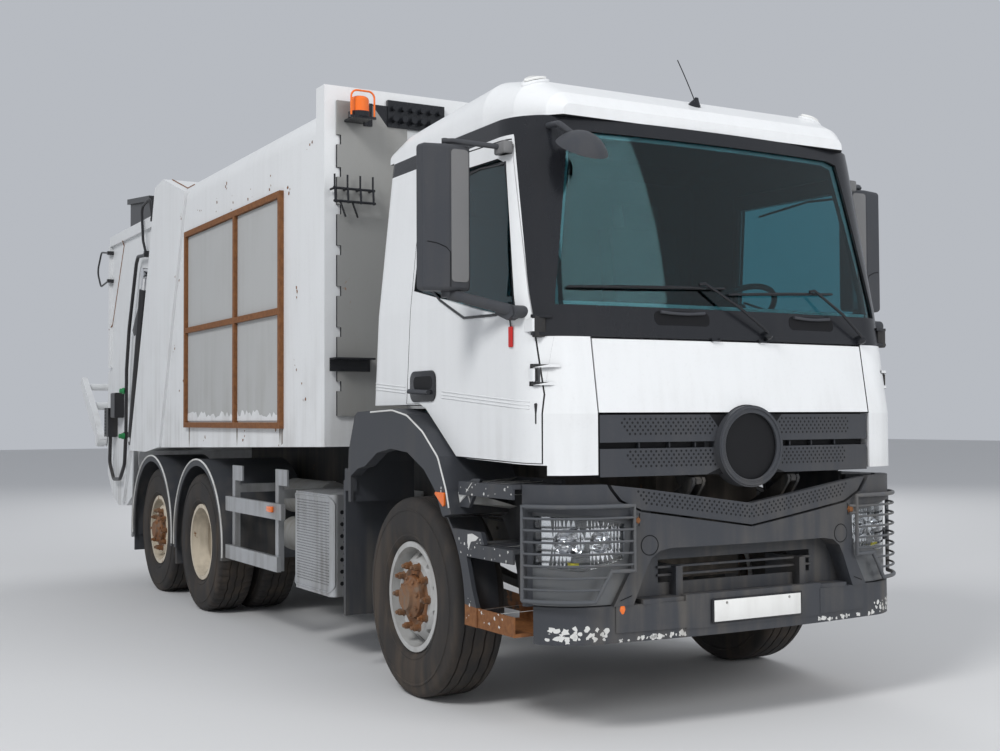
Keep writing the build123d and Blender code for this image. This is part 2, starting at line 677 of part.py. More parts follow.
def ram_barrel():
    foot, head, way, length = ram_direction()
    eye = rod((foot.X, RAM_Y - 28, foot.Z), (foot.X, RAM_Y + 28, foot.Z), 52)
    start = foot + way * 30
    end = foot + way * (length - 150)
    tube = rod(tuple(start), tuple(end), RAM_RADIUS)
    barrel = eye + tube
    barrel -= rod(tuple(foot + way * 120), tuple(end + way * 10), RAM_ROD + PIN_GAP)
    barrel -= rod((foot.X, RAM_Y - 40, foot.Z), (foot.X, RAM_Y + 40, foot.Z), 25 + PIN_GAP)
    return barrel


def ram_rod():
    foot, head, way, length = ram_direction()
    shaft = rod(tuple(foot + way * 130), tuple(head - way * 20), RAM_ROD)
    eye = rod((head.X, RAM_Y - 28, head.Z), (head.X, RAM_Y + 28, head.Z), 50)
    return shaft + eye


# Bin lift at the hopper's sill

LIFT_ANGLE = 143
LIFT_REACH = 1000
LIFT_ARM_Y = 1205


def lift_point(along, across=0.0):
    """Place in the arm's own directions: out along it, and square to it towards the top."""
    angle = math.radians(LIFT_ANGLE)
    x = LIFT_PIVOT_X + along * math.cos(angle) + across * math.sin(angle)
    z = LIFT_PIVOT_Z + along * math.sin(angle) - across * math.cos(angle)
    return (x, z)


def bin_lift():
    """Two side arms on a cross shaft, two cross beams and the comb that hooks a bin's rim."""
    arm = side_slab(
        [lift_point(-60, -50), lift_point(-60, 50), lift_point(420, 75), lift_point(LIFT_REACH, 55),
         lift_point(LIFT_REACH, -55), lift_point(420, -75)],
        LIFT_ARM_Y - 30, LIFT_ARM_Y + 30)
    lift = arm + other_side(arm)
    beams = ((560, 42), (900, 36))
    for along, radius in beams:
        x, z = lift_point(along)
        lift += rod((x, -LIFT_ARM_Y, z), (x, LIFT_ARM_Y, z), radius)
    plate = side_slab([lift_point(560, -20), lift_point(560, 20), lift_point(960, 20),
                       lift_point(960, -20)], -900, 900)
    lift += plate
    teeth = 12
    for index in range(teeth):
        y = -825 + 1650 * index / (teeth - 1)
        tooth = side_slab([lift_point(930, -18), lift_point(930, 18), lift_point(1010, 52),
                           lift_point(1018, 20)], y - 22, y + 22)
        lift += tooth
    for side in (-1, 1):
        y0, y1 = sorted((side * (LIFT_ARM_Y - 45), side * (LIFT_ARM_Y + 45)))
        lift += rod((LIFT_PIVOT_X, y0, LIFT_PIVOT_Z), (LIFT_PIVOT_X, y1, LIFT_PIVOT_Z), 70)
        lift -= rod((LIFT_PIVOT_X, y0 - 1, LIFT_PIVOT_Z), (LIFT_PIVOT_X, y1 + 1, LIFT_PIVOT_Z),
                    32 + PIN_GAP)
    return lift


# Cab

# z, rear, front, half width, corner radius
CAB_LEVELS = (
    (1200, -622, 1350, CAB_HALF_WIDTH, 250),
    (1500, -618, 1350, CAB_HALF_WIDTH, 250),
    (2060, -560, 1258, CAB_HALF_WIDTH, 250),
    (2880, -462, 1118, CAB_HALF_WIDTH - 45, 250),
    (CAB_ROOF_Z, -455, 1108, CAB_HALF_WIDTH - 50, 250),
)
FRONT_BULGE = 45
REAR_CORNER = 90


def cab_section(level, inset):
    """Plan view of the cab at one height: straight sides, round corners, curved front."""
    z, rear, front, half, corner = level
    back = fx(rear + inset)
    nose = fx(front - inset)
    side = half - inset
    bend = corner - inset
    small = max(REAR_CORNER - inset, 10)
    face = nose - FRONT_BULGE
    slant = math.sqrt(0.5)
    wide = side - bend
    bend_mid = (face - bend + bend * slant, wide + bend * slant)
    small_mid = (back + small - small * slant, side - small + small * slant)
    edges = [
        Line((back, -side + small), (back, side - small)),
        ThreePointArc((back, side - small), small_mid, (back + small, side)),
        Line((back + small, side), (face - bend, side)),
        ThreePointArc((face - bend, side), bend_mid, (face, wide)),
        ThreePointArc((face, wide), (nose, 0), (face, -wide)),
        ThreePointArc((face, -wide), (bend_mid[0], -bend_mid[1]), (face - bend, -side)),
        Line((face - bend, -side), (back + small, -side)),
        ThreePointArc((back + small, -side), (small_mid[0], -small_mid[1]), (back, -side + small)),
    ]
    return Pos(0, 0, z) * make_face(edges)


def cab_loft(inset, top=0):
    levels = [list(level) for level in CAB_LEVELS]
    levels[-1][0] -= top
    return loft([cab_section(level, inset) for level in levels], ruled=True)


DOOR_AXIS_X = fx(1165)
DOOR_AXIS_Y = 1112
DOOR_HINGE_Z = (1680, 1912)
DOOR_POINTS = (
    (-120, 1562), (30, 1562), (110, 1535), (455, 1290), (1205, 1272),
    (1205, 1590), (1130, 1940), (925, 2822), (5, 2842),
)
WINDOW_POINTS = ((-40, 2172), (1035, 1945), (1040, 2010), (905, 2712), (830, 2745), (40, 2760))
WINDSCREEN = ((-1015, 2010), (1015, 2010), (1010, 2060), (868, 2850), (800, 2868),
              (-800, 2868), (-868, 2850), (-1010, 2060))
LOW_PANEL_Z = 1860
FLAP_HALF = 850
FLAP_LOW_Z = 1505
GRILLE_LOW_Z = 1205
BADGE_RADIUS = 200
BADGE_Z = 1338
CORNER_TIP_Z = 1216


def placed(points, inset=0.0, grow=0.0):
    """Outline in X and Z moved to the truck's frame, shrunk or grown about its middle."""
    middle_x = sum(p[0] for p in points) / len(points)
    middle_z = sum(p[1] for p in points) / len(points)
    out = []
    for x, z in points:
        dx, dz = x - middle_x, z - middle_z
        reach = math.hypot(dx, dz)
        scale = (reach - inset + grow) / reach
        out.append((fx(middle_x + dx * scale), middle_z + dz * scale))
    return out


HINGE_NOTCH = 28
HINGE_BARREL = 14
HINGE_BOLT = 6


def door_leaf(z, leaf_x, leaf_y):
    """Hinge leaf and barrel of the right door at one height."""
    barrel = rod((DOOR_AXIS_X, -DOOR_AXIS_Y, z - 30), (DOOR_AXIS_X, -DOOR_AXIS_Y, z + 30),
                 HINGE_BARREL)
    barrel += span(fx(leaf_x), DOOR_AXIS_X, -DOOR_AXIS_Y - 14, -leaf_y, z - 30, z + 30)
    return barrel - rod((DOOR_AXIS_X, -DOOR_AXIS_Y, z - 31), (DOOR_AXIS_X, -DOOR_AXIS_Y, z + 31),
                        HINGE_BOLT + PIN_GAP)


def hinge_ears(z, outline):
    """Two ears on the cab's corner and the bolt between them, right side."""
    ears = rod((DOOR_AXIS_X, -DOOR_AXIS_Y, z - 48), (DOOR_AXIS_X, -DOOR_AXIS_Y, z + 48),
               HINGE_BOLT)
    for low in (z - 48, z + 34):
        plate = Plane.XY.offset(low) * Polygon(*[(fx(x), y) for x, y in outline], align=None)
        ears += extrude(plate, amount=14, dir=(0, 0, 1))
    return ears


def notch(z):
    return rod((DOOR_AXIS_X, -DOOR_AXIS_Y, z - 52), (DOOR_AXIS_X, -DOOR_AXIS_Y, z + 52),
               HINGE_NOTCH)


LOW_EARS = ((1155, -1126), (1175, -1126), (1230, -1070), (1245, -1020), (1220, -1040),
            (1216, -1068), (1196, -1098), (1155, -1100))
HIGH_EARS = ((1156, -1126), (1178, -1126), (1200, -1036), (1172, -1048), (1158, -1078),
             (1156, -1098))


SKIN = 30
FLAP_DEPTH = 49
HINGE_SWEEP_Y = 970
FLAP_AXIS_X = fx(1300)
FLAP_AXIS_Z = 1856
FLAP_HINGE_Y = 150
FLAP_BARREL = 5
FLAP_BARREL_LONG = 40
FLAP_BOLT = 2.5
FLAP_EAR = 6


def flap_rod(y0, y1, radius):
    return rod((FLAP_AXIS_X, y0, FLAP_AXIS_Z), (FLAP_AXIS_X, y1, FLAP_AXIS_Z), radius)


def flap_knuckle(y):
    """Barrel on the flap's top edge at one place across the cab."""
    y0, y1 = y - FLAP_BARREL_LONG / 2, y + FLAP_BARREL_LONG / 2
    leaf = span(FLAP_AXIS_X - 16, FLAP_AXIS_X, y0, y1, FLAP_AXIS_Z - 10, FLAP_AXIS_Z)
    return flap_rod(y0, y1, FLAP_BARREL) + leaf - flap_rod(y0 - 1, y1 + 1, FLAP_BOLT + PIN_GAP)


def flap_ears(y):
    """Bolt through the barrel and its two ears on the panel under the windscreen."""
    reach = FLAP_BARREL_LONG / 2 + 2
    ears = flap_rod(y - reach - FLAP_EAR, y + reach + FLAP_EAR, FLAP_BOLT)
    for y0 in (y - reach - FLAP_EAR, y + reach):
        ears += flap_rod(y0, y0 + FLAP_EAR, FLAP_BARREL)
        ears += span(FLAP_AXIS_X - 22, FLAP_AXIS_X, y0, y0 + FLAP_EAR, FLAP_AXIS_Z - 2,
                     LOW_PANEL_Z + 8)
    return ears


def cab_pieces():
    """Cab body split where its panels meet: outer panels on an inner frame."""
    outer = cab_loft(0)
    inner = cab_loft(CAB_WALL)
    lining = cab_loft(SKIN + SEAT_GAP)
    walls = outer - inner
    skin = outer - cab_loft(SKIN)
    arch = side_slab([(fx(-900), 1000), (fx(-900), 1556), (fx(35), 1556), (fx(118), 1525),
                      (fx(450), 1284), (fx(1225), 1262), (fx(1225), 1100), (fx(450), 1000)],
                     -1400, 1400)
    side_bite = span(fx(-800), fx(1500), -1400, -CAB_HALF_WIDTH + 260, 1000, 3100)
    door = walls & side_bite & side_slab(placed(DOOR_POINTS), -1400, 1400)
    door -= side_slab(placed(WINDOW_POINTS), -1400, 1400)
    for z in DOOR_HINGE_Z:
        door -= notch(z)
    door += door_leaf(DOOR_HINGE_Z[0], 1100, 1100) + door_leaf(DOOR_HINGE_Z[1], 1085, 1106)
    pane = (cab_loft(24) - cab_loft(24 + GLASS)) & side_bite
    pane &= side_slab(placed(WINDOW_POINTS, inset=SEAT_GAP), -1400, 1400)
    door_hole = side_slab(placed(DOOR_POINTS, grow=DOOR_GAP), -1400, 1400)
    door_hole &= side_bite + other_side(side_bite)

    pillar_zone = side_slab([(fx(1150), LOW_PANEL_Z), (fx(1500), LOW_PANEL_Z), (fx(1500), 2950),
                             (fx(900), 2950), (fx(940), 2835)], -1400, 1400)
    band_zone = side_slab([(fx(-440), 2848), (fx(-440), 2925), (fx(1500), 2950), (fx(1500), 2848)],
                          -1400, 1400)
    black_zone = pillar_zone + band_zone
    low_zone = span(fx(1209), fx(1500), -1400, 1400, 1100, LOW_PANEL_Z)
    screen_hole = front_slab(WINDSCREEN, fx(900), fx(1500))
    screen_frame = front_slab([(y * 0.97, 2010 + (z - 2010) * 0.95 + 20) for y, z in WINDSCREEN],
                              fx(900), fx(1500))
    screen = (cab_loft(14) - cab_loft(14 + GLASS)) & front_slab(
        [(y * 0.9997, z + (SEAT_GAP if z < 2100 else -SEAT_GAP)) for y, z in WINDSCREEN],
        fx(900), fx(1500))
    black = (skin & black_zone) - screen_hole - door_hole

    flap_zone = span(fx(1100), fx(1500), -FLAP_HALF - 8, FLAP_HALF + 8, 1100, LOW_PANEL_Z)
    below_tips = span(fx(1000), fx(1500), -1400, 1400, 1100, CORNER_TIP_Z)
    flap = (outer - cab_loft(FLAP_DEPTH - SEAT_GAP)) & span(
        fx(1100), fx(1500), -FLAP_HALF, FLAP_HALF, FLAP_LOW_Z, LOW_PANEL_Z - 9)
    flap -= rod((fx(1100), 0, BADGE_Z), (fx(1500), 0, BADGE_Z), BADGE_RADIUS + 4)
    for side in (-1, 1):
        flap += flap_knuckle(side * FLAP_HINGE_Y)
        black += flap_ears(side * FLAP_HINGE_Y)
    corners = skin & (Pos(SEAT_GAP, 0, 0) * low_zone)
    corners = corners - door_hole - flap_zone - arch - below_tips

    ears = hinge_ears(DOOR_HINGE_Z[0], LOW_EARS)
    corners += ears + other_side(ears)
    ears = hinge_ears(DOOR_HINGE_Z[1], HIGH_EARS)
    black += ears + other_side(ears)

    thick = walls - black_zone - low_zone - flap_zone
    frame = (lining - inner) & (black_zone + low_zone)
    frame = frame - screen_frame - flap_zone
    floor_plan = span(fx(-700), fx(1060), -CAB_HALF_WIDTH + 70, CAB_HALF_WIDTH - 70, CAB_FLOOR_Z,
                      CAB_FLOOR_Z + CAB_FLOOR)
    floor_plan += span(fx(-700), fx(-140), -CAB_HALF_WIDTH, CAB_HALF_WIDTH, CAB_FLOOR_Z,
                       CAB_FLOOR_Z + CAB_FLOOR)
    floor_plan += span(fx(1060), fx(1175), -HINGE_SWEEP_Y, HINGE_SWEEP_Y, CAB_FLOOR_Z,
                       CAB_FLOOR_Z + CAB_FLOOR)
    firewall = span(fx(1150), fx(1175), -HINGE_SWEEP_Y, HINGE_SWEEP_Y, CAB_FLOOR_Z,
                    LOW_PANEL_Z + 20)
    ledge = span(fx(1150), fx(1400), -HINGE_SWEEP_Y, HINGE_SWEEP_Y, LOW_PANEL_Z + 2,
                 LOW_PANEL_Z + 20)
    shell = thick + frame + (lining & (floor_plan + firewall + ledge))
    shell = shell - door_hole - arch - below_tips
    for side in (-1, 1):
        pad = span(fx(1160), fx(1400), side * 730 - 30, side * 730 + 30, 1620, 1660)
        shell += pad & cab_loft(FLAP_DEPTH)
    arm = tilt_arm()
    return {
        "shell": largest(shell + arm + other_side(arm)), "corners": corners, "black": black,
        "screen": screen, "flap": flap, "door": door, "pane": pane,
    }


EAVES_Z = CAB_ROOF_Z + SEAT_GAP
# x, half width at the eaves, height of the eaves, shoulder radius, top
ROOF_SECTIONS = (
    (-455, 1090, EAVES_Z, 60, 3015),
    (-250, 1098, EAVES_Z, 100, 3085),
    (250, 1098, EAVES_Z, 150, 3140),
    (640, 1090, EAVES_Z, 190, 3188),
    (860, 1040, EAVES_Z, 170, 3150),
    (1030, 960, EAVES_Z, 110, 3060),
    (1095, 900, EAVES_Z, 40, 2990),
)


def roof_loft(inset):
    """Roof cap through its cross-sections, or the space inside it."""
    sections = []
    rear, front = ROOF_SECTIONS[0][0], ROOF_SECTIONS[-1][0]
    for x, half, eaves, shoulder, top in ROOF_SECTIONS:
        place = min(max(x, rear + inset), front - inset)
        low = eaves - inset
        high = top - inset
        base = Plane.YZ * Rectangle(2 * (half - inset), high - low, align=(Align.CENTER, Align.MIN))
        section = Pos(fx(place), 0, low) * base
        corners = section.vertices().sort_by(Axis.Z)[-2:]
        sections.append(fillet(corners, min(shoulder, (high - low) * 0.9)))
    return loft(sections, ruled=True)


def cab_roof():
    return roof_loft(0) - roof_loft(40)


def grille():
    """Two slats and the plain round badge on the front flap."""
    skin = cab_loft(8) - cab_loft(48)
    slats = None
    for low, high in ((1365, 1494), (GRILLE_LOW_Z, 1335)):
        slat = skin & span(fx(1100), fx(1500), -FLAP_HALF + 6, FLAP_HALF - 6, low, high)
        slats = slat if slats is None else slats + slat
    back = cab_loft(FLAP_DEPTH) - cab_loft(75)
    back &= span(fx(1100), fx(1500), -FLAP_HALF + 6, FLAP_HALF - 6, GRILLE_LOW_Z, FLAP_LOW_Z + 40)
    ring = rod((fx(1300), 0, BADGE_Z), (fx(1378), 0, BADGE_Z), BADGE_RADIUS)
    ring -= rod((fx(1362), 0, BADGE_Z), (fx(1380), 0, BADGE_Z), BADGE_RADIUS - 34)
    return slats + back + ring


# Bumper

BUMPER_TOP_Z = 1172
BUMPER_LOW_Z = 610
BUMPER_BACK_X = 1100
BUMPER_NOSE_X = 1380
BUMPER_ROOT_X = 700
BUMPER_HALF = 1160
BUMPER_BEND = 330
BUMPER_BULGE = 50
BUMPER_WALL = 60
SLAT_LUG_Y = 600
BEAM_LOW_Z = 440
BEAM_INSET = 10
BEAM_BACK_X = 1146
STEP_GAP = 6
SHELF_Z = 640


def bumper_edge(out):
    """Plan view of the bumper's outer line grown by out: the corners and the curved face."""
    half = BUMPER_HALF + out
    nose = fx(BUMPER_NOSE_X + out)
    bend = BUMPER_BEND + out
    face = nose - BUMPER_BULGE
    wide = half - bend
    slant = math.sqrt(0.5)
    mid = (face - bend + bend * slant, wide + bend * slant)
    back = fx(BUMPER_ROOT_X)
    return make_face([
        Line((back, -half), (back, half)), Line((back, half), (face - bend, half)),
        ThreePointArc((face - bend, half), mid, (face, wide)),
        ThreePointArc((face, wide), (nose, 0), (face, -wide)),
        ThreePointArc((face, -wide), (mid[0], -mid[1]), (face - bend, -half)),
        Line((face - bend, -half), (back, -half)),
    ])


def bumper_band(out, wall, low, high, back_x=BUMPER_BACK_X):
    """Upright band that follows the bumper's line between two heights."""
    plan = bumper_edge(out) - Pos(-1, 0, 0) * bumper_edge(out - wall)
    plan &= Pos((fx(back_x) + fx(1500)) / 2, 0) * Rectangle(1500 - back_x, 2700)
    return extrude(Pos(0, 0, low) * plan, amount=high - low, dir=(0, 0, 1))


def mirrored(points):
    """Outline of left-hand points and their images, as one loop."""
    return [(-y, z) for y, z in points] + [(y, z) for y, z in reversed(points)]


RECESS = ((712, 560), (620, 775), (592, 824), (546, 855), (480, 866))
VEE_SKIN = ((840, 1200), (812, 1150), (765, 1093), (645, 1040), (2, 946))
VEE_SLAT_LOW = ((800, 1168), (782, 1142), (744, 1098), (640, 1050), (2, 956))
VEE_SLAT_TOP = ((2, 1060), (640, 1150))
LAMP_WINDOW = ((676, 1012), (704, 770), (800, 600), (1330, 600), (1330, 1064))
LENS = ((716, 986), (726, 822), (930, 772), (1110, 790), (1330, 850), (1330, 1036),
        (1000, 1024))


def slat_lug(side, grow=0.0):
    """Lug that stands up from the bumper's skin into the slat, grown by a clearance."""
    y = side * SLAT_LUG_Y
    return span(fx(1280 - grow), fx(1322 + grow), y - 30 - grow, y + 30 + grow, 1020, 1092 + grow)


def bumper_slat():
    """Bent slat in the bumper's notch, held on two lugs."""
    slat = front_slab(mirrored(VEE_SLAT_TOP + VEE_SLAT_LOW), fx(1000), fx(1500))
    slat &= bumper_band(-8, 45, 900, 1200)
    for side in (-1, 1):
        slat -= slat_lug(side, SEAT_GAP)
    return slat


def bumper():
    """Moulded upper skin with its recess and the steel beam below."""
    skin = bumper_band(0, BUMPER_WALL, BUMPER_LOW_Z, BUMPER_TOP_Z)
    skin -= front_slab(mirrored(VEE_SKIN), fx(1000), fx(1500))
    skin -= front_slab(mirrored(RECESS), fx(1000), fx(1500))
    for side in (-1, 1):
        skin -= front_slab([(side * y, z) for y, z in LAMP_WINDOW], fx(BUMPER_BACK_X + 28),
                           fx(1500))
    beam = bumper_band(-BEAM_INSET, 70, BEAM_LOW_Z, BUMPER_LOW_Z + 1, BEAM_BACK_X)
    recess_outline = mirrored(RECESS)
    liner = front_slab([(y * 1.02, 560 + (z - 560) * 1.045) for y, z in recess_outline],
                       fx(1235), fx(1327))
    liner -= front_slab(recess_outline, fx(1249), fx(1400))
    liner -= span(fx(1200), fx(1300), -480, 480, 690, 800)
    liner -= span(fx(1200), fx(1400), -800, 800, 500, BUMPER_LOW_Z)
    for z in (722, 760):
        liner += span(fx(1236), fx(1262), -490, 490, z, z + 10)
    shelf = span(fx(1240), fx(1352), -640, 640, SHELF_Z - 30, SHELF_Z - 8)
    holder = bumper_band(-6, 40, 478, SHELF_Z) & span(fx(1200), fx(1400), -400, 455, 400, 700)
    tie = bumper_band(-4, 60, 486, BUMPER_LOW_Z + 2)
    tie &= (span(fx(1200), fx(1400), -780, -395, 400, 700)
            + span(fx(1200), fx(1400), 450, 780, 400, 700))
    whole = skin + beam + liner + shelf + holder + tie
    for side in (-1, 1):
        whole += span(RAIL_FRONT_X + SEAT_GAP, fx(1300), side * 390 - 20, side * 390 + 20, 620, 770)
        whole += slat_lug(side)
        whole += rod((fx(1290), side * 602, 884), (fx(1352), side * 602, 884), 44)
    return solids_of([whole])


def headlamp():
    """Dark lamp bowl behind the guard on the right side, with two round reflectors."""
    body = bumper_band(-26, 110, 616, 1076)
    window = front_slab([(-y * 0.999 - 1, z - SEAT_GAP) for y, z in LAMP_WINDOW],
                        fx(BUMPER_BACK_X + 28 + SEAT_GAP), fx(1500))
    body = body & window & span(fx(1000), fx(1500), -1300, -650, 616, 1100)
    tray = front_slab([(-y, z) for y, z in LENS], fx(1000), fx(1500))
    body -= bumper_band(-20, 50, 700, 1076) & tray
    for y, radius in ((-820, 78), (-985, 92)):
        x = fx(1330 - (abs(y) - 700) * 0.28)
        body -= Pos(x - 40, y, 905) * Rot(0, 90, 0) * Cone(radius * 0.35, radius, 90)
    return body


def lamp_lens():
    """Clear cover over the lamp's bowl, on the right side."""
    outline = front_slab([(-y * 0.9985 - 1.5, 906 + (z - 906) * 0.992) for y, z in LENS],
                         fx(1000), fx(1500))
    cover = bumper_band(-28, 6, 700, 1076) & outline
    return cover & span(fx(BUMPER_BACK_X + 30), fx(1500), -1300, -650, 600, 1100)


GUARD_OUT = 20
GUARD_BAR = 15
GUARD_BACK_X = 1122
GUARD_TOP_Z = 1083
GUARD_LOW_Z = 629
GUARD_BARS = 9
# front view of the guard's edge and of the field of bars inside its rim
GUARD_EDGE = ((690, 1083), (690, 766), (830, 752), (900, 629), (1250, 629), (1250, 1083))
GUARD_FIELD = ((706, 1065), (706, 783), (838, 768), (914, 647), (1250, 647), (1250, 1065))


def lamp_guard(side):
    """Barred guard bent round the bumper's corner in front of one lamp."""
    reach = GUARD_OUT + GUARD_BAR
    guard = bumper_band(reach, GUARD_BAR, GUARD_LOW_Z, GUARD_TOP_Z, GUARD_BACK_X)
    guard &= front_slab([(side * y, z) for y, z in GUARD_EDGE], fx(1000), fx(1500))
    field = front_slab([(side * y, z) for y, z in GUARD_FIELD], fx(GUARD_BACK_X + 18), fx(1500))
    rise = (GUARD_TOP_Z - GUARD_LOW_Z - GUARD_BAR) / (GUARD_BARS - 1)
    for step in range(GUARD_BARS - 1):
        low = GUARD_LOW_Z + GUARD_BAR + rise * step
        guard -= field & span(fx(1000), fx(1500), -1300, 1300, low, low + rise - GUARD_BAR)
    seat = bumper_band(reach, reach, 700, 1000, GUARD_BACK_X)
    y0, y1 = sorted((side * 1000, side * 1250))
    guard += seat & span(fx(GUARD_BACK_X), fx(GUARD_BACK_X + 18), y0, y1, 700, 1000)
    y0, y1 = sorted((side * 654, side * 704))
    guard += seat & span(fx(1100), fx(1500), y0, y1, 960, 1000)
    bumper_room = Pos(0, 0, GUARD_LOW_Z) * bumper_edge(SEAT_GAP)
    return guard - extrude(bumper_room, amount=GUARD_TOP_Z - GUARD_LOW_Z, dir=(0, 0, 1))


CHEEK_RADIUS = 622
STEP_OUTER_Y = 1192
STEP_INNER_Y = 900
STEER_GAP = 14
# rear end, height of the tread's top
TREADS = ((560, 1168), (612, 868))


def entry_steps():
    """Treads in their moulded side wall ahead of the front wheel, on the right side."""
    front = fx(BUMPER_BACK_X - STEP_GAP)
    wheel_room = turned([(-1300, 0), (-1300, CHEEK_RADIUS), (-700, CHEEK_RADIUS), (-700, 0)],
                        FRONT_AXLE_X, AXLE_Z)
    cheek = side_slab([(fx(380), 930), (fx(790), 930), (fx(820), 872), (fx(630), 862), (fx(640), 800),
                       (fx(700), 640), (fx(742), 560), (fx(742), 466), (fx(520), 466)],
                      -STEP_OUTER_Y, -STEP_OUTER_Y + 22)
    upper = side_slab([(fx(470), 985), (fx(478), 1040), (fx(640), 1040), (fx(690), 1100),
                       (fx(760), 1185), (fx(690), 1185), (fx(560), 1150), (fx(470), 1060)],
                      -STEP_OUTER_Y + 14, -STEP_OUTER_Y + 32)
    wall = side_slab([(fx(470), 1000), (fx(560), 1185), (fx(1060), 1185), (fx(1060), 470),
                      (fx(560), 470)], -STEP_INNER_Y, -STEP_INNER_Y + 20)
    liner = turned([(-STEP_OUTER_Y, CHEEK_RADIUS), (-STEP_OUTER_Y, CHEEK_RADIUS + 14),
                    (-STEP_INNER_Y, CHEEK_RADIUS + 14), (-STEP_INNER_Y, CHEEK_RADIUS)],
                   FRONT_AXLE_X, AXLE_Z)
    liner &= span(fx(300), fx(800), -1300, -800, 466, 985)
    steps = (cheek + upper + wall) - wheel_room + liner
    for x0, z in TREADS:
        tread = span(fx(x0), front, -STEP_OUTER_Y, -STEP_INNER_Y + 2, z - 18, z)
        tread += span(fx(x0), front, -STEP_OUTER_Y, -STEP_OUTER_Y + 12, z - 66, z)
        for slot in range(5):
            x = fx(x0 + 110 + slot * 70)
            tread -= span(x, x + 34, -STEP_OUTER_Y + 60, -STEP_INNER_Y - 60, z - 30, z + 10)
        steps += tread
    steps += span(fx(612), front, -STEP_OUTER_Y + 6, -STEP_INNER_Y + 2, 466, 482)
    steps += span(fx(640), front, -STEP_OUTER_Y + 6, -STEP_OUTER_Y + 12, 466, 560)
    steps += span(fx(980), fx(1020), -STEP_INNER_Y, -RAIL_OUTER_Y - SEAT_GAP, 820, 960)
    tip_x, tip_z = FENDER_OUTER[-2]
    fender_room = [(fx(x + SEAT_GAP), z + SEAT_GAP) for x, z in FENDER_OUTER[:-1]]
    fender_room += [(fx(tip_x + SEAT_GAP), tip_z - SEAT_GAP), (fx(466), 975)]
    steered_reach = math.hypot(TYRE_RADIUS, SINGLE_OUTER_Y - KINGPIN_Y) + STEER_GAP
    steer_room = Pos(FRONT_AXLE_X, -KINGPIN_Y, AXLE_Z) * Sphere(steered_reach)
    return largest(steps - side_slab(fender_room, -1240, -820) - steer_room)


FENDER_OUTER = ((-735, 1236), (-728, 1300), (-640, 1500), (-600, 1520), (-130, 1535), (60, 1505),
                (250, 1420), (425, 1290), (515, 1130), (560, 1005), (470, 990))
FENDER_INNER = ((-700, 1150), (-600, 1196), (-500, 1212), (-330, 1292), (-150, 1318), (60, 1302),
                (255, 1218), (385, 1115), (470, 985), (400, 940), (-700, 940))
FENDER_SHEET = 16


def front_fender():
    """Wheel arch behind the cab step, and the strip that hangs behind the wheel."""
    outline = [(fx(x), z) for x, z in FENDER_OUTER]
    solid = side_slab(outline + [(fx(-735), 1000)], -1235, -820)
    room = side_slab([(fx(x), z) for x, z in FENDER_INNER], -1300, -700)
    middle_x, middle_z = fx(-120), 1100
    hollow = side_slab([(middle_x + (x - middle_x) * 0.965, middle_z + (z - middle_z) * 0.955)
                        for x, z in outline + [(fx(-735), 980)]], -1235 + FENDER_SHEET, -700)
    fender = solid - room - hollow
    fender += (side_slab([(fx(x), z) for x, z in FENDER_INNER[:9]] +
                         [(fx(x + dx), z + dz) for (x, z), (dx, dz) in zip(
                             reversed(FENDER_INNER[:9]),
                             ((14, 4), (14, 8), (10, 12), (4, 14), (0, 14), (-6, 12), (-6, 12),
                              (-6, 12), (-12, 12)))], -1231, -1170))
    fender = fender & span(fx(-900), fx(700), -1235, -800, 985, 1600)
    wheel_room = turned([(-1300, 0), (-1300, 640), (-700, 640), (-700, 0)], FRONT_AXLE_X, AXLE_Z)
    fender -= wheel_room
    flap = span(fx(-830), fx(-800), -1225, -830, 330, 1120)
    flap += span(fx(-812), fx(-700), -1225, -1195, 1060, 1190)
    flap += span(fx(-812), fx(-715), -840, -820, 960, 1240)
    stay = span(fx(-800), fx(-760), -842, -RAIL_OUTER_Y - SEAT_GAP, 960, 1010)
    return fender + flap + stay


def rear_mudguards():
    """Half-round guards over the two rear axles, on the right side."""
    guards = []
    for axle_x, inner_y in ((DRIVE_AXLE_X, 575), (TAG_AXLE_X, 800)):
        ring = turned([(-1250, 632), (-1250, 645), (-inner_y, 645), (-inner_y, 632)], axle_x, AXLE_Z)
        lip = turned([(-1250, 592), (-1250, 645), (-1238, 645), (-1238, 592)], axle_x, AXLE_Z)
        guard = ring + lip
        guard -= span(axle_x - 800, axle_x + 800, -1300, 0, -300, 440)
        stay = span(axle_x - 30, axle_x + 30, -inner_y, -RAIL_OUTER_Y - SEAT_GAP,
                    RAIL_TOP_Z - 45, RAIL_TOP_Z - 5)
        stay += span(axle_x - 30, axle_x + 30, -inner_y, -inner_y + 10, RAIL_TOP_Z - 45,
                     AXLE_Z + 640)
        flap = span(axle_x - 662, axle_x - 640, -1230, -inner_y - 40, 300, 470)
        guards.append(guard + stay + flap)
    return guards


def side_guard():
    """Two alloy rails on posts between the axles, on the right side."""
    guard = span(fx(-3030), fx(-1860), -1235, -1205, 815, 920)
    guard += span(fx(-3030), fx(-1940), -1235, -1205, 468, 568)
    for x in (-2930, -2020):
        guard += span(fx(x) - 30, fx(x) + 30, -1205, -1165, 468, 1130)
        guard += span(fx(x) - 30, fx(x) + 30, -1165, -RAIL_OUTER_Y - SEAT_GAP, 950, 1010)
        guard += span(fx(x) - 30, fx(x) + 190, -1205, -1193, 1040, 1147)
    return guard


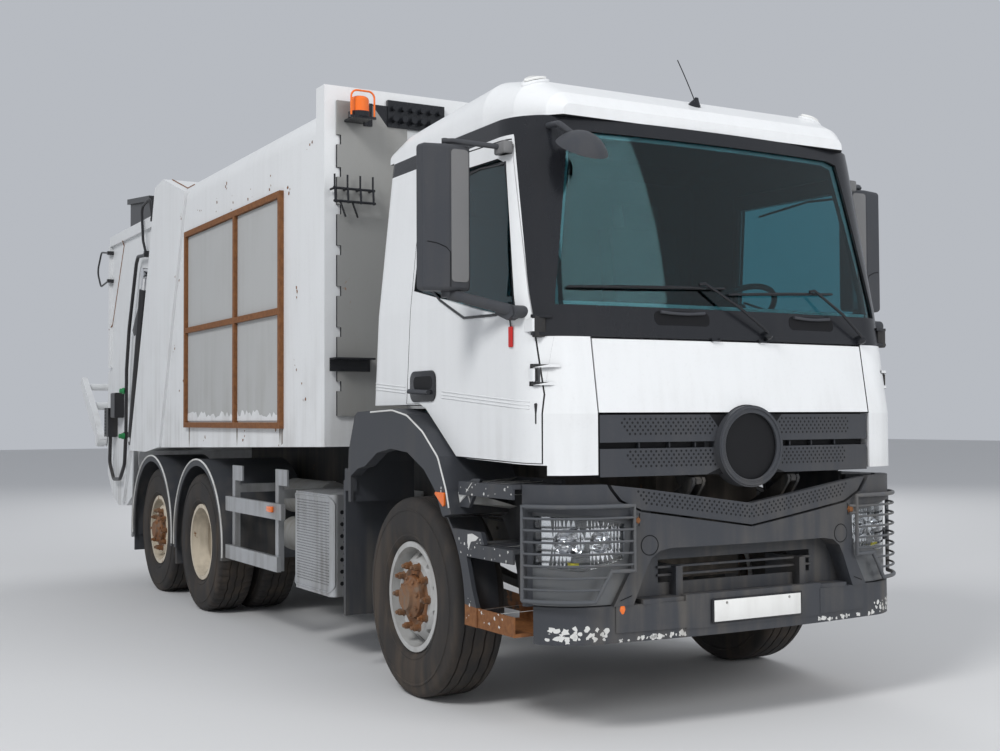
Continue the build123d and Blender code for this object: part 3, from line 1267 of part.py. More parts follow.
def rear_guard():
    """Underrun bar and its uprights behind the last axle."""
    half = TAILGATE_HALF + RUNNING_GAP
    bar = span(fx(-6010), fx(-5910), -half, half, 400, 500)
    post = side_slab([(fx(-5935), 1240), (fx(-5895), 1240), (fx(-5955), 395), (fx(-6005), 395)],
                     -half - 32, -half)
    bar += post + other_side(post)
    for side in (-1, 1):
        y0, y1 = sorted((side * RAIL_OUTER_Y, side * (RAIL_OUTER_Y - RAIL_FLANGE)))
        bar += side_slab([(fx(-5960), 400), (fx(-5910), 400), (RAIL_REAR_X + 120, 769.7),
                          (RAIL_REAR_X + 5, 769.7)], y0, y1)
    return bar


def exhaust_box():
    box = span(fx(-1714), fx(-1080), -1200, -560, 400, 1020)
    box = fillet(box.edges().filter_by(Axis.Z), 45)
    box += span(fx(-1600), fx(-1500), -560, -RAIL_OUTER_Y - SEAT_GAP, 800, 960)
    box += span(fx(-1300), fx(-1200), -560, -RAIL_OUTER_Y - SEAT_GAP, 800, 960)
    return box


def fuel_tank():
    tank = span(fx(-1790), fx(-1080), 540, 1190, 420, 1030)
    tank = fillet(tank.edges().filter_by(Axis.X), 110)
    for x in (-1640, -1240):
        tank += span(fx(x) - 40, fx(x) + 40, RAIL_OUTER_Y + SEAT_GAP, 560, 800, 980)
    return tank


def air_tanks():
    tanks = []
    for z in (640, 920):
        tank = rod((fx(-2850), -760, z), (fx(-2100), -760, z), 125)
        tanks.append(tank)
    strap = span(fx(-2500), fx(-2440), -700, -RAIL_OUTER_Y - SEAT_GAP, 780, 860)
    strap += span(fx(-2500), fx(-2440), -760, -700, 600, 960)
    return [tanks[0] + tanks[1] + strap]


# Doors' mirrors

MIRROR_PLAN = ((700, -1250), (700, -1478), (728, -1504), (784, -1496), (812, -1372), (806, -1250))
MIRROR_LOW_Z = 2092
MIRROR_TOP_Z = 2800


def mirror_unit():
    """Main mirror housing with its arms and its foot, on the right door."""
    plan = Polygon(*[(fx(x), y) for x, y in MIRROR_PLAN], align=None)
    housing = extrude(Pos(0, 0, MIRROR_LOW_Z) * plan, amount=MIRROR_TOP_Z - MIRROR_LOW_Z,
                      dir=(0, 0, 1))
    housing = fillet(housing.edges().filter_by(Axis.Z), 14)
    housing = fillet(housing.edges().group_by(Axis.Z)[0], 22)
    housing = fillet(housing.edges().group_by(Axis.Z)[-1], 22)
    glass = span(fx(690), fx(712), -1470, -1272, MIRROR_LOW_Z + 60, MIRROR_TOP_Z - 50)
    housing -= glass - span(fx(707), fx(720), -1600, -1200, 2000, 2900)
    top = rod((fx(750), -1360, 2790), (fx(750), -1360, 2834), 16)
    top += pipe([(fx(750), -1374, 2820), (fx(780), -1330, 2820), (fx(935), -1085, 2778)], 20, 13)
    foot = rod((fx(750), -1340, 2080), (fx(1080), -1150, 1978), 26)
    foot += rod((fx(750), -1350, 2064), (fx(750), -1350, 2110), 30)
    foot += rod((fx(1080), -1180, 1978), (fx(1080), -1080, 1978), 30)
    pad = side_slab([(fx(905), 2040), (fx(1025), 2010), (fx(1088), 1996), (fx(1098), 1962),
                     (fx(1040), 1940), (fx(930), 1975)], -1185, -1080)
    bracket = span(fx(884), fx(940), -1135, -1060, 2752, 2800)
    return housing + (top + foot + pad + bracket - cab_loft(-SEAT_GAP))


def kerb_mirror():
    """Small mirror over the near front corner, on an arm from the black surround."""
    arm = pipe([(fx(1020), -950, 2885), (fx(1190), -985, 2860), (fx(1238), -930, 2800)], 24, 15)
    bowl = revolve(Plane.XZ * make_face([
        ThreePointArc((0, 82), (86, 50), (128, 0)), Line((128, 0), (120, 0)),
        ThreePointArc((120, 0), (80, 44), (0, 74)), Line((0, 74), (0, 82)),
    ]), axis=Axis.Z)
    face = Pos(0, 0, 12) * Cylinder(112, 8)
    stem = rod((0, 0, 10), (0, 0, 78), 18)
    head = Pos(fx(1262), -905, 2738) * Rot(0, 32, -25) * (bowl + face + stem)
    return (arm + head) - cab_loft(-SEAT_GAP)


# Inside the cab

def seat(y):
    base = span(fx(-260), fx(240), y - 240, y + 240, CAB_FLOOR_Z + CAB_FLOOR + SEAT_GAP, 1900)
    cushion = span(fx(-280), fx(270), y - 260, y + 260, 1900, 2030)
    back = side_slab([(fx(-280), 1980), (fx(-140), 1980), (fx(-230), 2640), (fx(-360), 2640)],
                     y - 250, y + 250)
    head = side_slab([(fx(-225), 2640), (fx(-345), 2640), (fx(-370), 2800), (fx(-265), 2800)],
                     y - 140, y + 140)
    return base + cushion + back + head


def dashboard():
    dash = side_slab([(fx(1095), 1700), (fx(1095), 2010), (fx(1010), 2040), (fx(800), 2010),
                      (fx(760), 1900), (fx(900), 1650)], -1000, 1000)
    dash += span(fx(1080), fx(1150) - SEAT_GAP, -940, 940, 1700, 1870)
    column = rod((fx(860), 520, 1900), (fx(660), 520, 2050), 34)
    wheel = Pos(fx(650), 520, 2065) * Rot(0, -35, 0) * Torus(225, 16)
    wheel += Pos(fx(650), 520, 2065) * Rot(0, -35, 0) * Cylinder(60, 24)
    wheel += Pos(fx(650), 520, 2065) * Rot(0, -35, 0) * Box(40, 440, 16)
    return dash + column + wheel


# Lamps

def beacon():
    """Flashing lamp with its hoop on a shelf at the top of the body's front face."""
    x, y = fx(-950), -1067
    base = BODY_FRONT_X + SHEET + 2 * SEAT_GAP
    lamp = rod((x, y, 3312), (x, y, 3345), 70)
    dome = rod((x, y, 3340), (x, y, 3442), 58)
    lamp += fillet(dome.edges().group_by(Axis.Z)[-1], 26)
    lamp += span(base, x + 60, y - 60, y + 60, 3300, 3314)
    hoop = pipe([(x + 50, y - 76, 3308), (x + 50, y - 76, 3468), (x + 50, y + 76, 3468),
                 (x + 50, y + 76, 3308)], 40, 6)
    lamp += hoop + span(x + 40, x + 60, y - 84, y + 84, 3300, 3314)
    return lamp


def tail_lamps():
    lamps = []
    for side in (-1, 1):
        y0, y1 = sorted((side * 800, side * 1100))
        lamps.append(span(fx(-7185), fx(-7110) - SEAT_GAP, y0, y1, 960, 1080))
    return lamps


SHEET_EDGE = 1174
NOTCHES = (1650, 1980, 2230, 2480, 2730, 2960, 3160)
NOTCH_SIZE = (26, 60)


def bulkhead_fittings():
    """Notched sheet on the body's front face, with a rack, a shelf and a valve plate."""
    front = BODY_FRONT_X + SEAT_GAP
    deep, tall = NOTCH_SIZE
    sheet = span(front, front + SHEET, -SHEET_EDGE, -700, 1500, 3432)
    for z in NOTCHES:
        sheet -= span(front - 1, front + SHEET + 1, -SHEET_EDGE - 1, -SHEET_EDGE + deep, z, z + tall)
    plate_x = front + SHEET
    sheet += span(plate_x - 1, plate_x + 90, -1224, -960, 1840, 1852)
    sheet += span(plate_x - 1, plate_x + 8, -1224, -960, 1770, 1850)
    sheet += span(plate_x - 1, plate_x + 14, -1000, -944, 3290, 3432)
    for y in (-1214, -1130, -1046, -962):
        sheet += pipe([(plate_x - 6, y, 2880), (plate_x + 64, y, 2880), (plate_x + 72, y, 2790)],
                      16, 7)
    sheet += rod((plate_x + 60, -1224, 2880), (plate_x + 60, -950, 2880), 8)
    sheet += rod((plate_x + 70, -1224, 2800), (plate_x + 70, -950, 2800), 8)
    valve = span(front, front + 26, -836, -440, 3300, 3470)
    for index in range(6):
        y = -800 + index * 64
        valve += rod((front + 20, y, 3350), (front + 70, y, 3350), 20)
        valve += rod((front + 20, y, 3420), (front + 58, y, 3420), 16)
    hose = pipe([(fx(-4640), -1060, 3470), (fx(-4640), -1060, 3560), (fx(-4380), -900, 3560),
                 (fx(-4050), -800, 3500), (fx(-4000), -800, 3410)], 40, 15)
    hose -= span(fx(-4900), fx(-3800), -1300, 0, 3300, BODY_TOP_Z + SEAT_GAP)
    return [sheet + valve, hose]


def write(name, items):
    shape = Compound(children=solids_of(items)) if len(solids_of(items)) > 1 else solids_of(items)[0]
    export_step(shape, os.path.join("parts", name + ".step"))


def main():
    os.makedirs("parts", exist_ok=True)
    cab = cab_pieces()
    front_rim = steer_wheel_rim(FRONT_AXLE_X)
    tag_rim = steer_wheel_rim(TAG_AXLE_X)
    drive_rim = drive_wheel_rim(DRIVE_AXLE_X)
    front_tyre = tyre(FRONT_AXLE_X, SINGLE_Y, SINGLE_TYRE_WIDTH)
    tag_tyre = tyre(TAG_AXLE_X, SINGLE_Y, SINGLE_TYRE_WIDTH)
    twin = [tyre(DRIVE_AXLE_X, TWIN_Y, TWIN_TYRE_WIDTH),
            tyre(DRIVE_AXLE_X, TWIN_Y - TWIN_SPACING, TWIN_TYRE_WIDTH)]
    springs = [leaf_spring(FRONT_AXLE_X, 380, 1500, BEAM_TOP_Z + 8 + SEAT_GAP)]
    springs += [other_side(springs[0])]
    bellows = [air_bellows(DRIVE_AXLE_X, side * 380, AXLE_Z + 75) for side in (-1, 1)]
    bellows += [air_bellows(TAG_AXLE_X, side * 380, BEAM_TOP_Z) for side in (-1, 1)]
    guards = both_sides(side_guard()) + [rear_guard()]
    mudguards = rear_mudguards()
    both_fittings = tail_fittings()
    both_fittings += [other_side(piece) for piece in both_fittings[:2]]
    front_knuckle = knuckle(FRONT_AXLE_X)
    tag_knuckle = knuckle(TAG_AXLE_X)
    parts = {
        "chassis_frame": [chassis_frame()],
        "driveline": [driveline(), radiator()],
        "axles": [dropped_axle(FRONT_AXLE_X), drive_axle(), dropped_axle(TAG_AXLE_X)],
        "springs": springs + bellows,
        "front_knuckle_left": [front_knuckle],
        "front_knuckle_right": [other_side(front_knuckle)],
        "tag_knuckle_left": [tag_knuckle],
        "tag_knuckle_right": [other_side(tag_knuckle)],
        "front_rim_left": [front_rim],
        "front_rim_right": [other_side(front_rim)],
        "front_tyre_left": [front_tyre],
        "front_tyre_right": [other_side(front_tyre)],
        "drive_rims_left": drive_rim,
        "drive_rims_right": [other_side(piece) for piece in drive_rim],
        "drive_tyres_left": twin,
        "drive_tyres_right": [other_side(t) for t in twin],
        "tag_rim_left": [tag_rim],
        "tag_rim_right": [other_side(tag_rim)],
        "tag_tyre_left": [tag_tyre],
        "tag_tyre_right": [other_side(tag_tyre)],
        "load_body": [load_body()],
        "side_frames": both_sides(side_frame()),
        "bulkhead_fittings": bulkhead_fittings()[:1],
        "beacon": [beacon()],
        "tailgate": [tailgate()],
        "tail_fittings": tail_lamps() + both_fittings + tail_pipes(),
        "lift_barrel_left": [ram_barrel()],
        "lift_barrel_right": [other_side(ram_barrel())],
        "lift_rod_left": [ram_rod()],
        "lift_rod_right": [other_side(ram_rod())],
        "bin_lift": [bin_lift()],
        "cab_shell": [cab["shell"]],
        "cab_roof": [cab_roof()],
        "cab_corner_panels": [cab["corners"]],
        "cab_black_surround": [cab["black"]],
        "windscreen": [cab["screen"]],
        "front_flap": [cab["flap"]],
        "grille": [grille()],
        "door_right": [cab["door"]],
        "door_left": [other_side(cab["door"])],
        "door_glass_right": [cab["pane"]],
        "door_glass_left": [other_side(cab["pane"])],
        "mirror_right": [mirror_unit()],
        "mirror_left": [other_side(mirror_unit())],
        "kerb_mirror": [kerb_mirror()],
        "seats": [seat(520), seat(-520)],
        "dashboard": [dashboard()],
        "bumper": bumper(),
        "bumper_slat": [bumper_slat()],
        "headlamps": both_sides(headlamp()) + both_sides(lamp_lens()),
        "lamp_guards": [lamp_guard(-1), lamp_guard(1)],
        "entry_steps": both_sides(entry_steps()),
        "front_fenders": both_sides(front_fender()),
        "rear_mudguards": mudguards + [other_side(g) for g in mudguards],
        "guards": guards,
        "exhaust_box": [exhaust_box()],
        "fuel_tank": [fuel_tank()],
        "air_tanks": air_tanks(),
    }
    for name, items in parts.items():
        write(name, items)
        print(name, len(solids_of(items)))


main()
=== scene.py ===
# %% [markdown]
# # A three-axle refuse truck
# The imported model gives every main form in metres: +X forwards, +Y to the driver's left, +Z up.
# This script leaves those forms where they are, paints them, and adds what is too fine for them:
# tyre treads, perforated slats, bolts, air lines, wipers, piping, rust and road dirt.

# %% Load the frame
import math
import random
import bpy
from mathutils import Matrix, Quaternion, Vector
from mathutils.bvhtree import BVHTree


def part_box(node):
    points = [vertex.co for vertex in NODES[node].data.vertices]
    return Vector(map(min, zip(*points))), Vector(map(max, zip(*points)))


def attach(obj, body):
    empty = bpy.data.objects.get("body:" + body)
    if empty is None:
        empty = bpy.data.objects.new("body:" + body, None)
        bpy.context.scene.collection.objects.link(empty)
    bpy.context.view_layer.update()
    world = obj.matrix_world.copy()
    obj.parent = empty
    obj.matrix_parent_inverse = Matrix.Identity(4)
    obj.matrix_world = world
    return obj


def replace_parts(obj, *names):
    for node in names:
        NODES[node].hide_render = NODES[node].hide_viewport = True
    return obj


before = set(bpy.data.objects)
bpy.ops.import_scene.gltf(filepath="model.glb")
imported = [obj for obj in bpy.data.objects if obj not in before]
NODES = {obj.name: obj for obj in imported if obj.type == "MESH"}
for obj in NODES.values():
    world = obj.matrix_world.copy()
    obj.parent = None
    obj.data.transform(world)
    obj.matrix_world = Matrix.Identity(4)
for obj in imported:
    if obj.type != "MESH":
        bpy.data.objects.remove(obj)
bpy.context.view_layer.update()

# %% [markdown]
# ## Places on the truck
# The truck was measured along its length from the front axle, so the same distances are used
# here: `fx` turns one into a place in the frame. The wheels' own boxes give the axles.

# %% Places
def middle(node):
    low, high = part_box(node)
    return (low + high) / 2


def fx(distance):
    """A place along the truck, in metres forwards of the front axle."""
    return FRONT_AXLE.x + distance


FRONT_AXLE = middle("front_tyre_right")
DRIVE_AXLE = middle("drive_tyres_right")
TAG_AXLE = middle("tag_tyre_right")
TYRE_RADIUS = FRONT_AXLE.z
SIDES = {"right": -1, "left": 1}
print("axles at", [round(a.x, 3) for a in (FRONT_AXLE, DRIVE_AXLE, TAG_AXLE)])

# %% [markdown]
# ## Helpers for points
# Most trim is a row of points: evenly spread along a line, or round an oval. An outline is drawn
# flat, in two coordinates, and laid onto the truck later.

# %% Helpers for points
FULL_TURN = 2 * math.pi


def shares(count):
    """Even steps from 0 to 1."""
    return [step / count for step in range(count + 1)]


def between(first, second, share):
    return first + (second - first) * share


def spot_between(first, second, share):
    """A spot in two coordinates, a share of the way from the first to the second."""
    return between(first[0], second[0], share), between(first[1], second[1], share)


def oval(centre, radii, count, closed=False, start=0.0):
    """Spots round an oval; a closed one comes back to its first spot."""
    steps = range(count + 1 if closed else count)
    turns = [start + FULL_TURN * step / count for step in steps]
    return [(centre[0] + radii[0] * math.cos(turn), centre[1] + radii[1] * math.sin(turn))
            for turn in turns]


def rounded_plate(corner_low, corner_high, radius, count=6):
    """Outline of a rectangle with round corners."""
    (a0, b0), (a1, b1) = corner_low, corner_high
    outline = []
    for ca, cb, start in ((a1 - radius, b1 - radius, 0.0), (a0 + radius, b1 - radius, 0.25),
                          (a0 + radius, b0 + radius, 0.5), (a1 - radius, b0 + radius, 0.75)):
        for share in shares(count):
            angle = FULL_TURN * (start + 0.25 * share)
            outline.append((ca + radius * math.cos(angle), cb + radius * math.sin(angle)))
    return outline


print("helpers for points ready")

# %% [markdown]
# ## Helpers for pieces
# A piece made here has its points written straight in the truck's frame, so its object stays at
# the origin and rides on the body that carries it.

# %% Helpers for pieces
SHARP_EDGE = math.radians(32)
TUBE_STEPS = 8
TUBE_ORDER = 3
BOX_FACES = ((0, 1, 3, 2), (4, 6, 7, 5), (0, 4, 5, 1), (2, 3, 7, 6), (0, 2, 6, 4), (1, 5, 7, 3))


def shade(mesh, smooth):
    mesh.polygons.foreach_set("use_smooth", [smooth] * len(mesh.polygons))
    if smooth:
        mesh.set_sharp_from_angle(angle=SHARP_EDGE)


def finish_piece(obj, body, material, smooth=True):
    """Gives a new mesh its material and shading, and fixes it to a body."""
    obj.data.materials.clear()
    obj.data.materials.append(material)
    shade(obj.data, smooth)
    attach(obj, body)
    return obj


def new_object(name, data):
    obj = bpy.data.objects.new(name, data)
    bpy.context.scene.collection.objects.link(obj)
    return obj


def mesh_piece(name, points, faces, body, material, smooth=False):
    mesh = bpy.data.meshes.new(name)
    mesh.from_pydata([tuple(p) for p in points], [], faces)
    mesh.validate()
    mesh.update()
    return finish_piece(new_object(name, mesh), body, material, smooth)


def evaluated_mesh(obj):
    """The object's mesh with its modifiers worked out."""
    graph = bpy.context.evaluated_depsgraph_get()
    return bpy.data.meshes.new_from_object(obj.evaluated_get(graph), depsgraph=graph)


def apply_modifiers(obj):
    mesh = evaluated_mesh(obj)
    obj.modifiers.clear()
    obj.data = mesh


def round_edges(obj, width):
    modifier = obj.modifiers.new("rounding", "BEVEL")
    modifier.width = width
    modifier.segments = 2
    modifier.limit_method = "ANGLE"
    apply_modifiers(obj)
    shade(obj.data, True)


def boxes_piece(name, boxes, body, material, bevel=0.0):
    """One mesh of upright boxes, each row two opposite corners, rounded by a bevel."""
    points, faces = [], []
    for corners in boxes:
        start = len(points)
        ends_x, ends_y, ends_z = (sorted(ends) for ends in zip(*corners))
        points += [(x, y, z) for x in ends_x for y in ends_y for z in ends_z]
        faces += [[start + i for i in quad] for quad in BOX_FACES]
    obj = mesh_piece(name, points, faces, body, material)
    if bevel:
        round_edges(obj, bevel)


def tube_piece(name, routes, radius, body, material, curved=False, sides=4):
    """Round tubes along routes of points: straight between them, or curved past them."""
    curve = bpy.data.curves.new(name, "CURVE")
    curve.dimensions = "3D"
    curve.bevel_depth = radius
    curve.bevel_resolution = sides
    curve.use_fill_caps = True
    curve.resolution_u = TUBE_STEPS
    for route in routes:
        spline = curve.splines.new("NURBS" if curved else "POLY")
        spline.points.add(len(route) - 1)
        for point, place in zip(spline.points, route):
            point.co = (*place, 1.0)
        if curved:
            spline.order_u = TUBE_ORDER
            spline.use_endpoint_u = True
    line = new_object(name + "_line", curve)
    mesh = evaluated_mesh(line)
    bpy.data.objects.remove(line)
    mesh.name = name
    return finish_piece(new_object(name, mesh), body, material)


print("helpers for pieces ready")

# %% [markdown]
# ## Surfaces to fasten things on
# Bolts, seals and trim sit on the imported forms. Their places are found by looking along a line
# onto those forms, so nothing has to be guessed: the line's first hit is the seat, and the
# surface's own direction turns the piece. A look turns a spot in two coordinates into the line's
# start and way: from ahead of the truck, from one of its sides, or from above.

# %% Surfaces to fasten things on
LOOK_REACH = 4.0
AHEAD = 2.0
ASIDE = 2.0
ABOVE = 4.0
PLATE_SINK = 0.001
FLECK_CORNERS = 9
FLECK_RAGGED = (0.55, 1.35)
FLECK_LIFT = 0.0012


def from_ahead(y, z):
    return (fx(AHEAD), y, z), (-1, 0, 0)


def from_side(sign):
    return lambda x, z: ((x, sign * ASIDE, z), (0, -sign, 0))


def from_above(x, y):
    return (x, y, ABOVE), (0, 0, -1)


def surface_of(*nodes):
    """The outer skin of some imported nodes, to look onto."""
    points, faces = [], []
    for node in nodes:
        obj = NODES[node]
        start = len(points)
        points += [obj.matrix_world @ v.co for v in obj.data.vertices]
        faces += [[start + i for i in polygon.vertices] for polygon in obj.data.polygons]
    return BVHTree.FromPolygons(points, faces)


def seat_on(skin, look, a, b):
    """Place and outward direction where a look at (a, b) meets the skin, or None."""
    start, way = look(a, b)
    way = Vector(way).normalized()
    place, normal, _, _ = skin.ray_cast(Vector(start), way, LOOK_REACH)
    if place is None:
        return None
    if normal.dot(way) > 0:
        normal = -normal
    return place, normal


def seats_on(skin, look, spots):
    return [seat for seat in (seat_on(skin, look, *spot) for spot in spots) if seat]


def line_on(skin, look, spots, lift):
    """Route over a skin, lifted off it a little."""
    return [tuple(place + normal * lift) for place, normal in seats_on(skin, look, spots)]


def plate_on(name, skin, look, outline, body, material, thick, lift=0.0):
    """A thin plate laid on a skin: an outline looked at, then raised against the look."""
    hits = []
    for a, b in outline:
        seat = seat_on(skin, look, a, b)
        if seat:
            hits.append((seat[0], -Vector(look(a, b)[1])))
    top = [place + out * (lift + thick) for place, out in hits]
    low = [place + out * (lift - PLATE_SINK) for place, out in hits]
    count = len(hits)
    faces = [tuple(range(count)), tuple(range(2 * count - 1, count - 1, -1))]
    faces += [(i, count + i, count + (i + 1) % count, (i + 1) % count) for i in range(count)]
    return mesh_piece(name, top + low, faces, body, material)


def flecks(name, skin, look, fields, count, sizes, body, material, seed):
    """Ragged specks laid on a skin inside (low a, low b, high a, high b) fields."""
    random.seed(seed)
    points, faces = [], []
    for a0, b0, a1, b1 in fields:
        for _ in range(count):
            a, b, radius = (random.uniform(a0, a1), random.uniform(b0, b1),
                            random.uniform(*sizes))
            ring = []
            for step in range(FLECK_CORNERS):
                angle = FULL_TURN * step / FLECK_CORNERS
                reach = radius * random.uniform(*FLECK_RAGGED)
                ring += line_on(skin, look, [(a + reach * math.cos(angle),
                                              b + reach * math.sin(angle))], FLECK_LIFT)
            if len(ring) == FLECK_CORNERS:
                faces.append(tuple(range(len(points), len(points) + FLECK_CORNERS)))
                points += ring
    mesh_piece(name, points, faces, body, material)


print("surfaces ready")

# %% [markdown]
# ## Repeats
# Bolts, nuts and perforations are one small shape repeated. On the real truck they are bought-in
# or punched with one tool, so one shape and a list of places is the honest way to make them: a
# Geometry Nodes tree puts the shape on each place and turns it to face outwards.

# %% Repeats
REPEAT_SEED = 11


def make_repeat_group():
    tree = bpy.data.node_groups.new("repeat_on_places", "GeometryNodeTree")
    sockets = {}
    for label, kind in (("Places", "NodeSocketGeometry"), ("Shape", "NodeSocketObject"),
                        ("Size", "NodeSocketFloat"), ("Variation", "NodeSocketFloat"),
                        ("Finish", "NodeSocketMaterial")):
        sockets[label] = tree.interface.new_socket(label, in_out="INPUT", socket_type=kind)
    tree.interface.new_socket("Pieces", in_out="OUTPUT", socket_type="NodeSocketGeometry")
    start, end = tree.nodes.new("NodeGroupInput"), tree.nodes.new("NodeGroupOutput")
    facing = tree.nodes.new("GeometryNodeInputNamedAttribute")
    facing.data_type = "FLOAT_VECTOR"
    facing.inputs["Name"].default_value = "facing"
    turn = tree.nodes.new("FunctionNodeAlignRotationToVector")
    turn.axis = "Z"
    tree.links.new(facing.outputs["Attribute"], turn.inputs["Vector"])
    chance = tree.nodes.new("FunctionNodeRandomValue")
    for end_input, value in ((2, -1.0), (3, 1.0)):
        chance.inputs[end_input].default_value = value
    chance.inputs["Seed"].default_value = REPEAT_SEED
    spread = tree.nodes.new("ShaderNodeMath")
    spread.operation = "MULTIPLY_ADD"
    spread.inputs[2].default_value = 1.0
    tree.links.new(chance.outputs[1], spread.inputs[0])
    tree.links.new(start.outputs["Variation"], spread.inputs[1])
    scale = tree.nodes.new("ShaderNodeMath")
    scale.operation = "MULTIPLY"
    tree.links.new(spread.outputs[0], scale.inputs[0])
    tree.links.new(start.outputs["Size"], scale.inputs[1])
    shape = tree.nodes.new("GeometryNodeObjectInfo")
    tree.links.new(start.outputs["Shape"], shape.inputs["Object"])
    copies = tree.nodes.new("GeometryNodeInstanceOnPoints")
    tree.links.new(start.outputs["Places"], copies.inputs["Points"])
    tree.links.new(shape.outputs["Geometry"], copies.inputs["Instance"])
    tree.links.new(turn.outputs["Rotation"], copies.inputs["Rotation"])
    tree.links.new(scale.outputs[0], copies.inputs["Scale"])
    real = tree.nodes.new("GeometryNodeRealizeInstances")
    tree.links.new(copies.outputs["Instances"], real.inputs["Geometry"])
    dress = tree.nodes.new("GeometryNodeSetMaterial")
    tree.links.new(real.outputs["Geometry"], dress.inputs["Geometry"])
    tree.links.new(start.outputs["Finish"], dress.inputs["Material"])
    tree.links.new(dress.outputs["Geometry"], end.inputs["Pieces"])
    return tree, sockets


REPEAT_GROUP, REPEAT_SOCKETS = make_repeat_group()


def turned_shape(rows, sides):
    """Points and faces of a small turned shape standing on Z: rows of (height, radius)."""
    points, faces = [], []
    for height, radius in rows:
        for step in range(sides):
            angle = FULL_TURN * (step + 0.5) / sides
            points.append((radius * math.cos(angle), radius * math.sin(angle), height))
    for row in range(len(rows) - 1):
        for step in range(sides):
            a, b = row * sides + step, row * sides + (step + 1) % sides
            faces.append((a, b, b + sides, a + sides))
    faces.append(tuple(range(sides))[::-1])
    faces.append(tuple((len(rows) - 1) * sides + step for step in range(sides)))
    return points, faces


def repeat_piece(name, seats, shape, body, material, size=1.0, variation=0.0, smooth=False):
    """One mesh of a shape on every (place, facing) seat."""
    base = bpy.data.meshes.new(name + "_shape")
    base.from_pydata(shape[0], [], shape[1])
    shape_object = new_object(name + "_shape", base)
    places = bpy.data.meshes.new(name)
    places.from_pydata([tuple(place) for place, _ in seats], [], [])
    facing = places.attributes.new("facing", "FLOAT_VECTOR", "POINT")
    facing.data.foreach_set("vector", [c for _, normal in seats for c in normal])
    obj = new_object(name, places)
    modifier = obj.modifiers.new("repeat", "NODES")
    modifier.node_group = REPEAT_GROUP
    for label, value in (("Shape", shape_object), ("Size", size), ("Variation", variation),
                         ("Finish", material)):
        modifier[REPEAT_SOCKETS[label].identifier] = value
    apply_modifiers(obj)
    bpy.data.objects.remove(shape_object)
    finish_piece(obj, body, material, smooth)


HEX_BOLT = turned_shape([(0, 0.013), (0.002, 0.013), (0.0021, 0.0095), (0.009, 0.0095),
                         (0.0105, 0.008)], 6)
ROUND_BOLT = turned_shape([(0, 0.011), (0.003, 0.0105), (0.006, 0.007)], 10)
WHEEL_NUT = turned_shape([(0, 0.024), (0.005, 0.024), (0.0051, 0.0185), (0.030, 0.0185),
                          (0.034, 0.013), (0.0341, 0.011), (0.050, 0.011), (0.052, 0.008)], 6)
PERFORATION = turned_shape([(-0.001, 1.0), (0.0006, 1.0)], 8)
print("repeats ready")

# %% [markdown]
# ## Shared effects
# Dust and rust show on nearly every finish, so each is one shader node group. A group only gives
# colours and masks; the shader itself stays in the material.

# %% Shared effects
DUST = (0.19, 0.165, 0.13)
RUST_DARK, RUST_LIGHT = (0.085, 0.028, 0.012), (0.30, 0.13, 0.045)
DIRT_FOOT_Z = 0.2
DIRT_LOW = 1.15
DIRT_RANGE = (0.16, 0.42)
SPECKLE_RANGE, SPECKLE_SHARE = (0.55, 0.75), 0.12
RUST_BROAD, RUST_FINE = 0.82, 0.18
RUST_EDGE, RUST_EDGE_WIDTH = 0.78, 0.035


def group_tree(name, inputs, outputs):
    """An empty shader group with named sockets, and its two end nodes."""
    tree = bpy.data.node_groups.new(name, "ShaderNodeTree")
    for label, kind, value in inputs:
        made = tree.interface.new_socket(label, in_out="INPUT", socket_type=kind)
        made.default_value = value
    for label, kind in outputs:
        tree.interface.new_socket(label, in_out="OUTPUT", socket_type=kind)
    return tree, tree.nodes.new("NodeGroupInput"), tree.nodes.new("NodeGroupOutput")


def add_noise(tree, scale, detail, stretch=(1, 1, 1)):
    """Noise in the truck's own coordinates, drawn out along an axis if wanted."""
    place = tree.nodes.new("ShaderNodeTexCoord")
    mapping = tree.nodes.new("ShaderNodeMapping")
    mapping.inputs["Scale"].default_value = stretch
    noise = tree.nodes.new("ShaderNodeTexNoise")
    noise.inputs["Scale"].default_value = scale
    noise.inputs["Detail"].default_value = detail
    tree.links.new(place.outputs["Object"], mapping.inputs["Vector"])
    tree.links.new(mapping.outputs["Vector"], noise.inputs["Vector"])
    return noise


def add_math(tree, operation, first, second=None):
    node = tree.nodes.new("ShaderNodeMath")
    node.operation = operation
    node.use_clamp = operation in ("MULTIPLY", "ADD", "SUBTRACT")
    for socket, value in zip(node.inputs, (first, second)):
        if value is None:
            continue
        if isinstance(value, (int, float)):
            socket.default_value = value
        else:
            tree.links.new(value, socket)
    return node.outputs["Value"]


def add_range(tree, value, low, high):
    """0 below low and 1 above high, smooth between."""
    node = tree.nodes.new("ShaderNodeMapRange")
    node.interpolation_type = "SMOOTHSTEP"
    tree.links.new(value, node.inputs["Value"])
    for label, bound in (("From Min", low), ("From Max", high)):
        if isinstance(bound, (int, float)):
            node.inputs[label].default_value = bound
        else:
            tree.links.new(bound, node.inputs[label])
    return node.outputs["Result"]


def add_mix(tree, factor, first, second):
    node = tree.nodes.new("ShaderNodeMix")
    node.data_type = "RGBA"
    tree.links.new(factor, node.inputs["Factor"])
    for index, value in ((6, first), (7, second)):
        if isinstance(value, tuple):
            node.inputs[index].default_value = (*value, 1) if len(value) == 3 else value
        else:
            tree.links.new(value, node.inputs[index])
    return node.outputs[2]


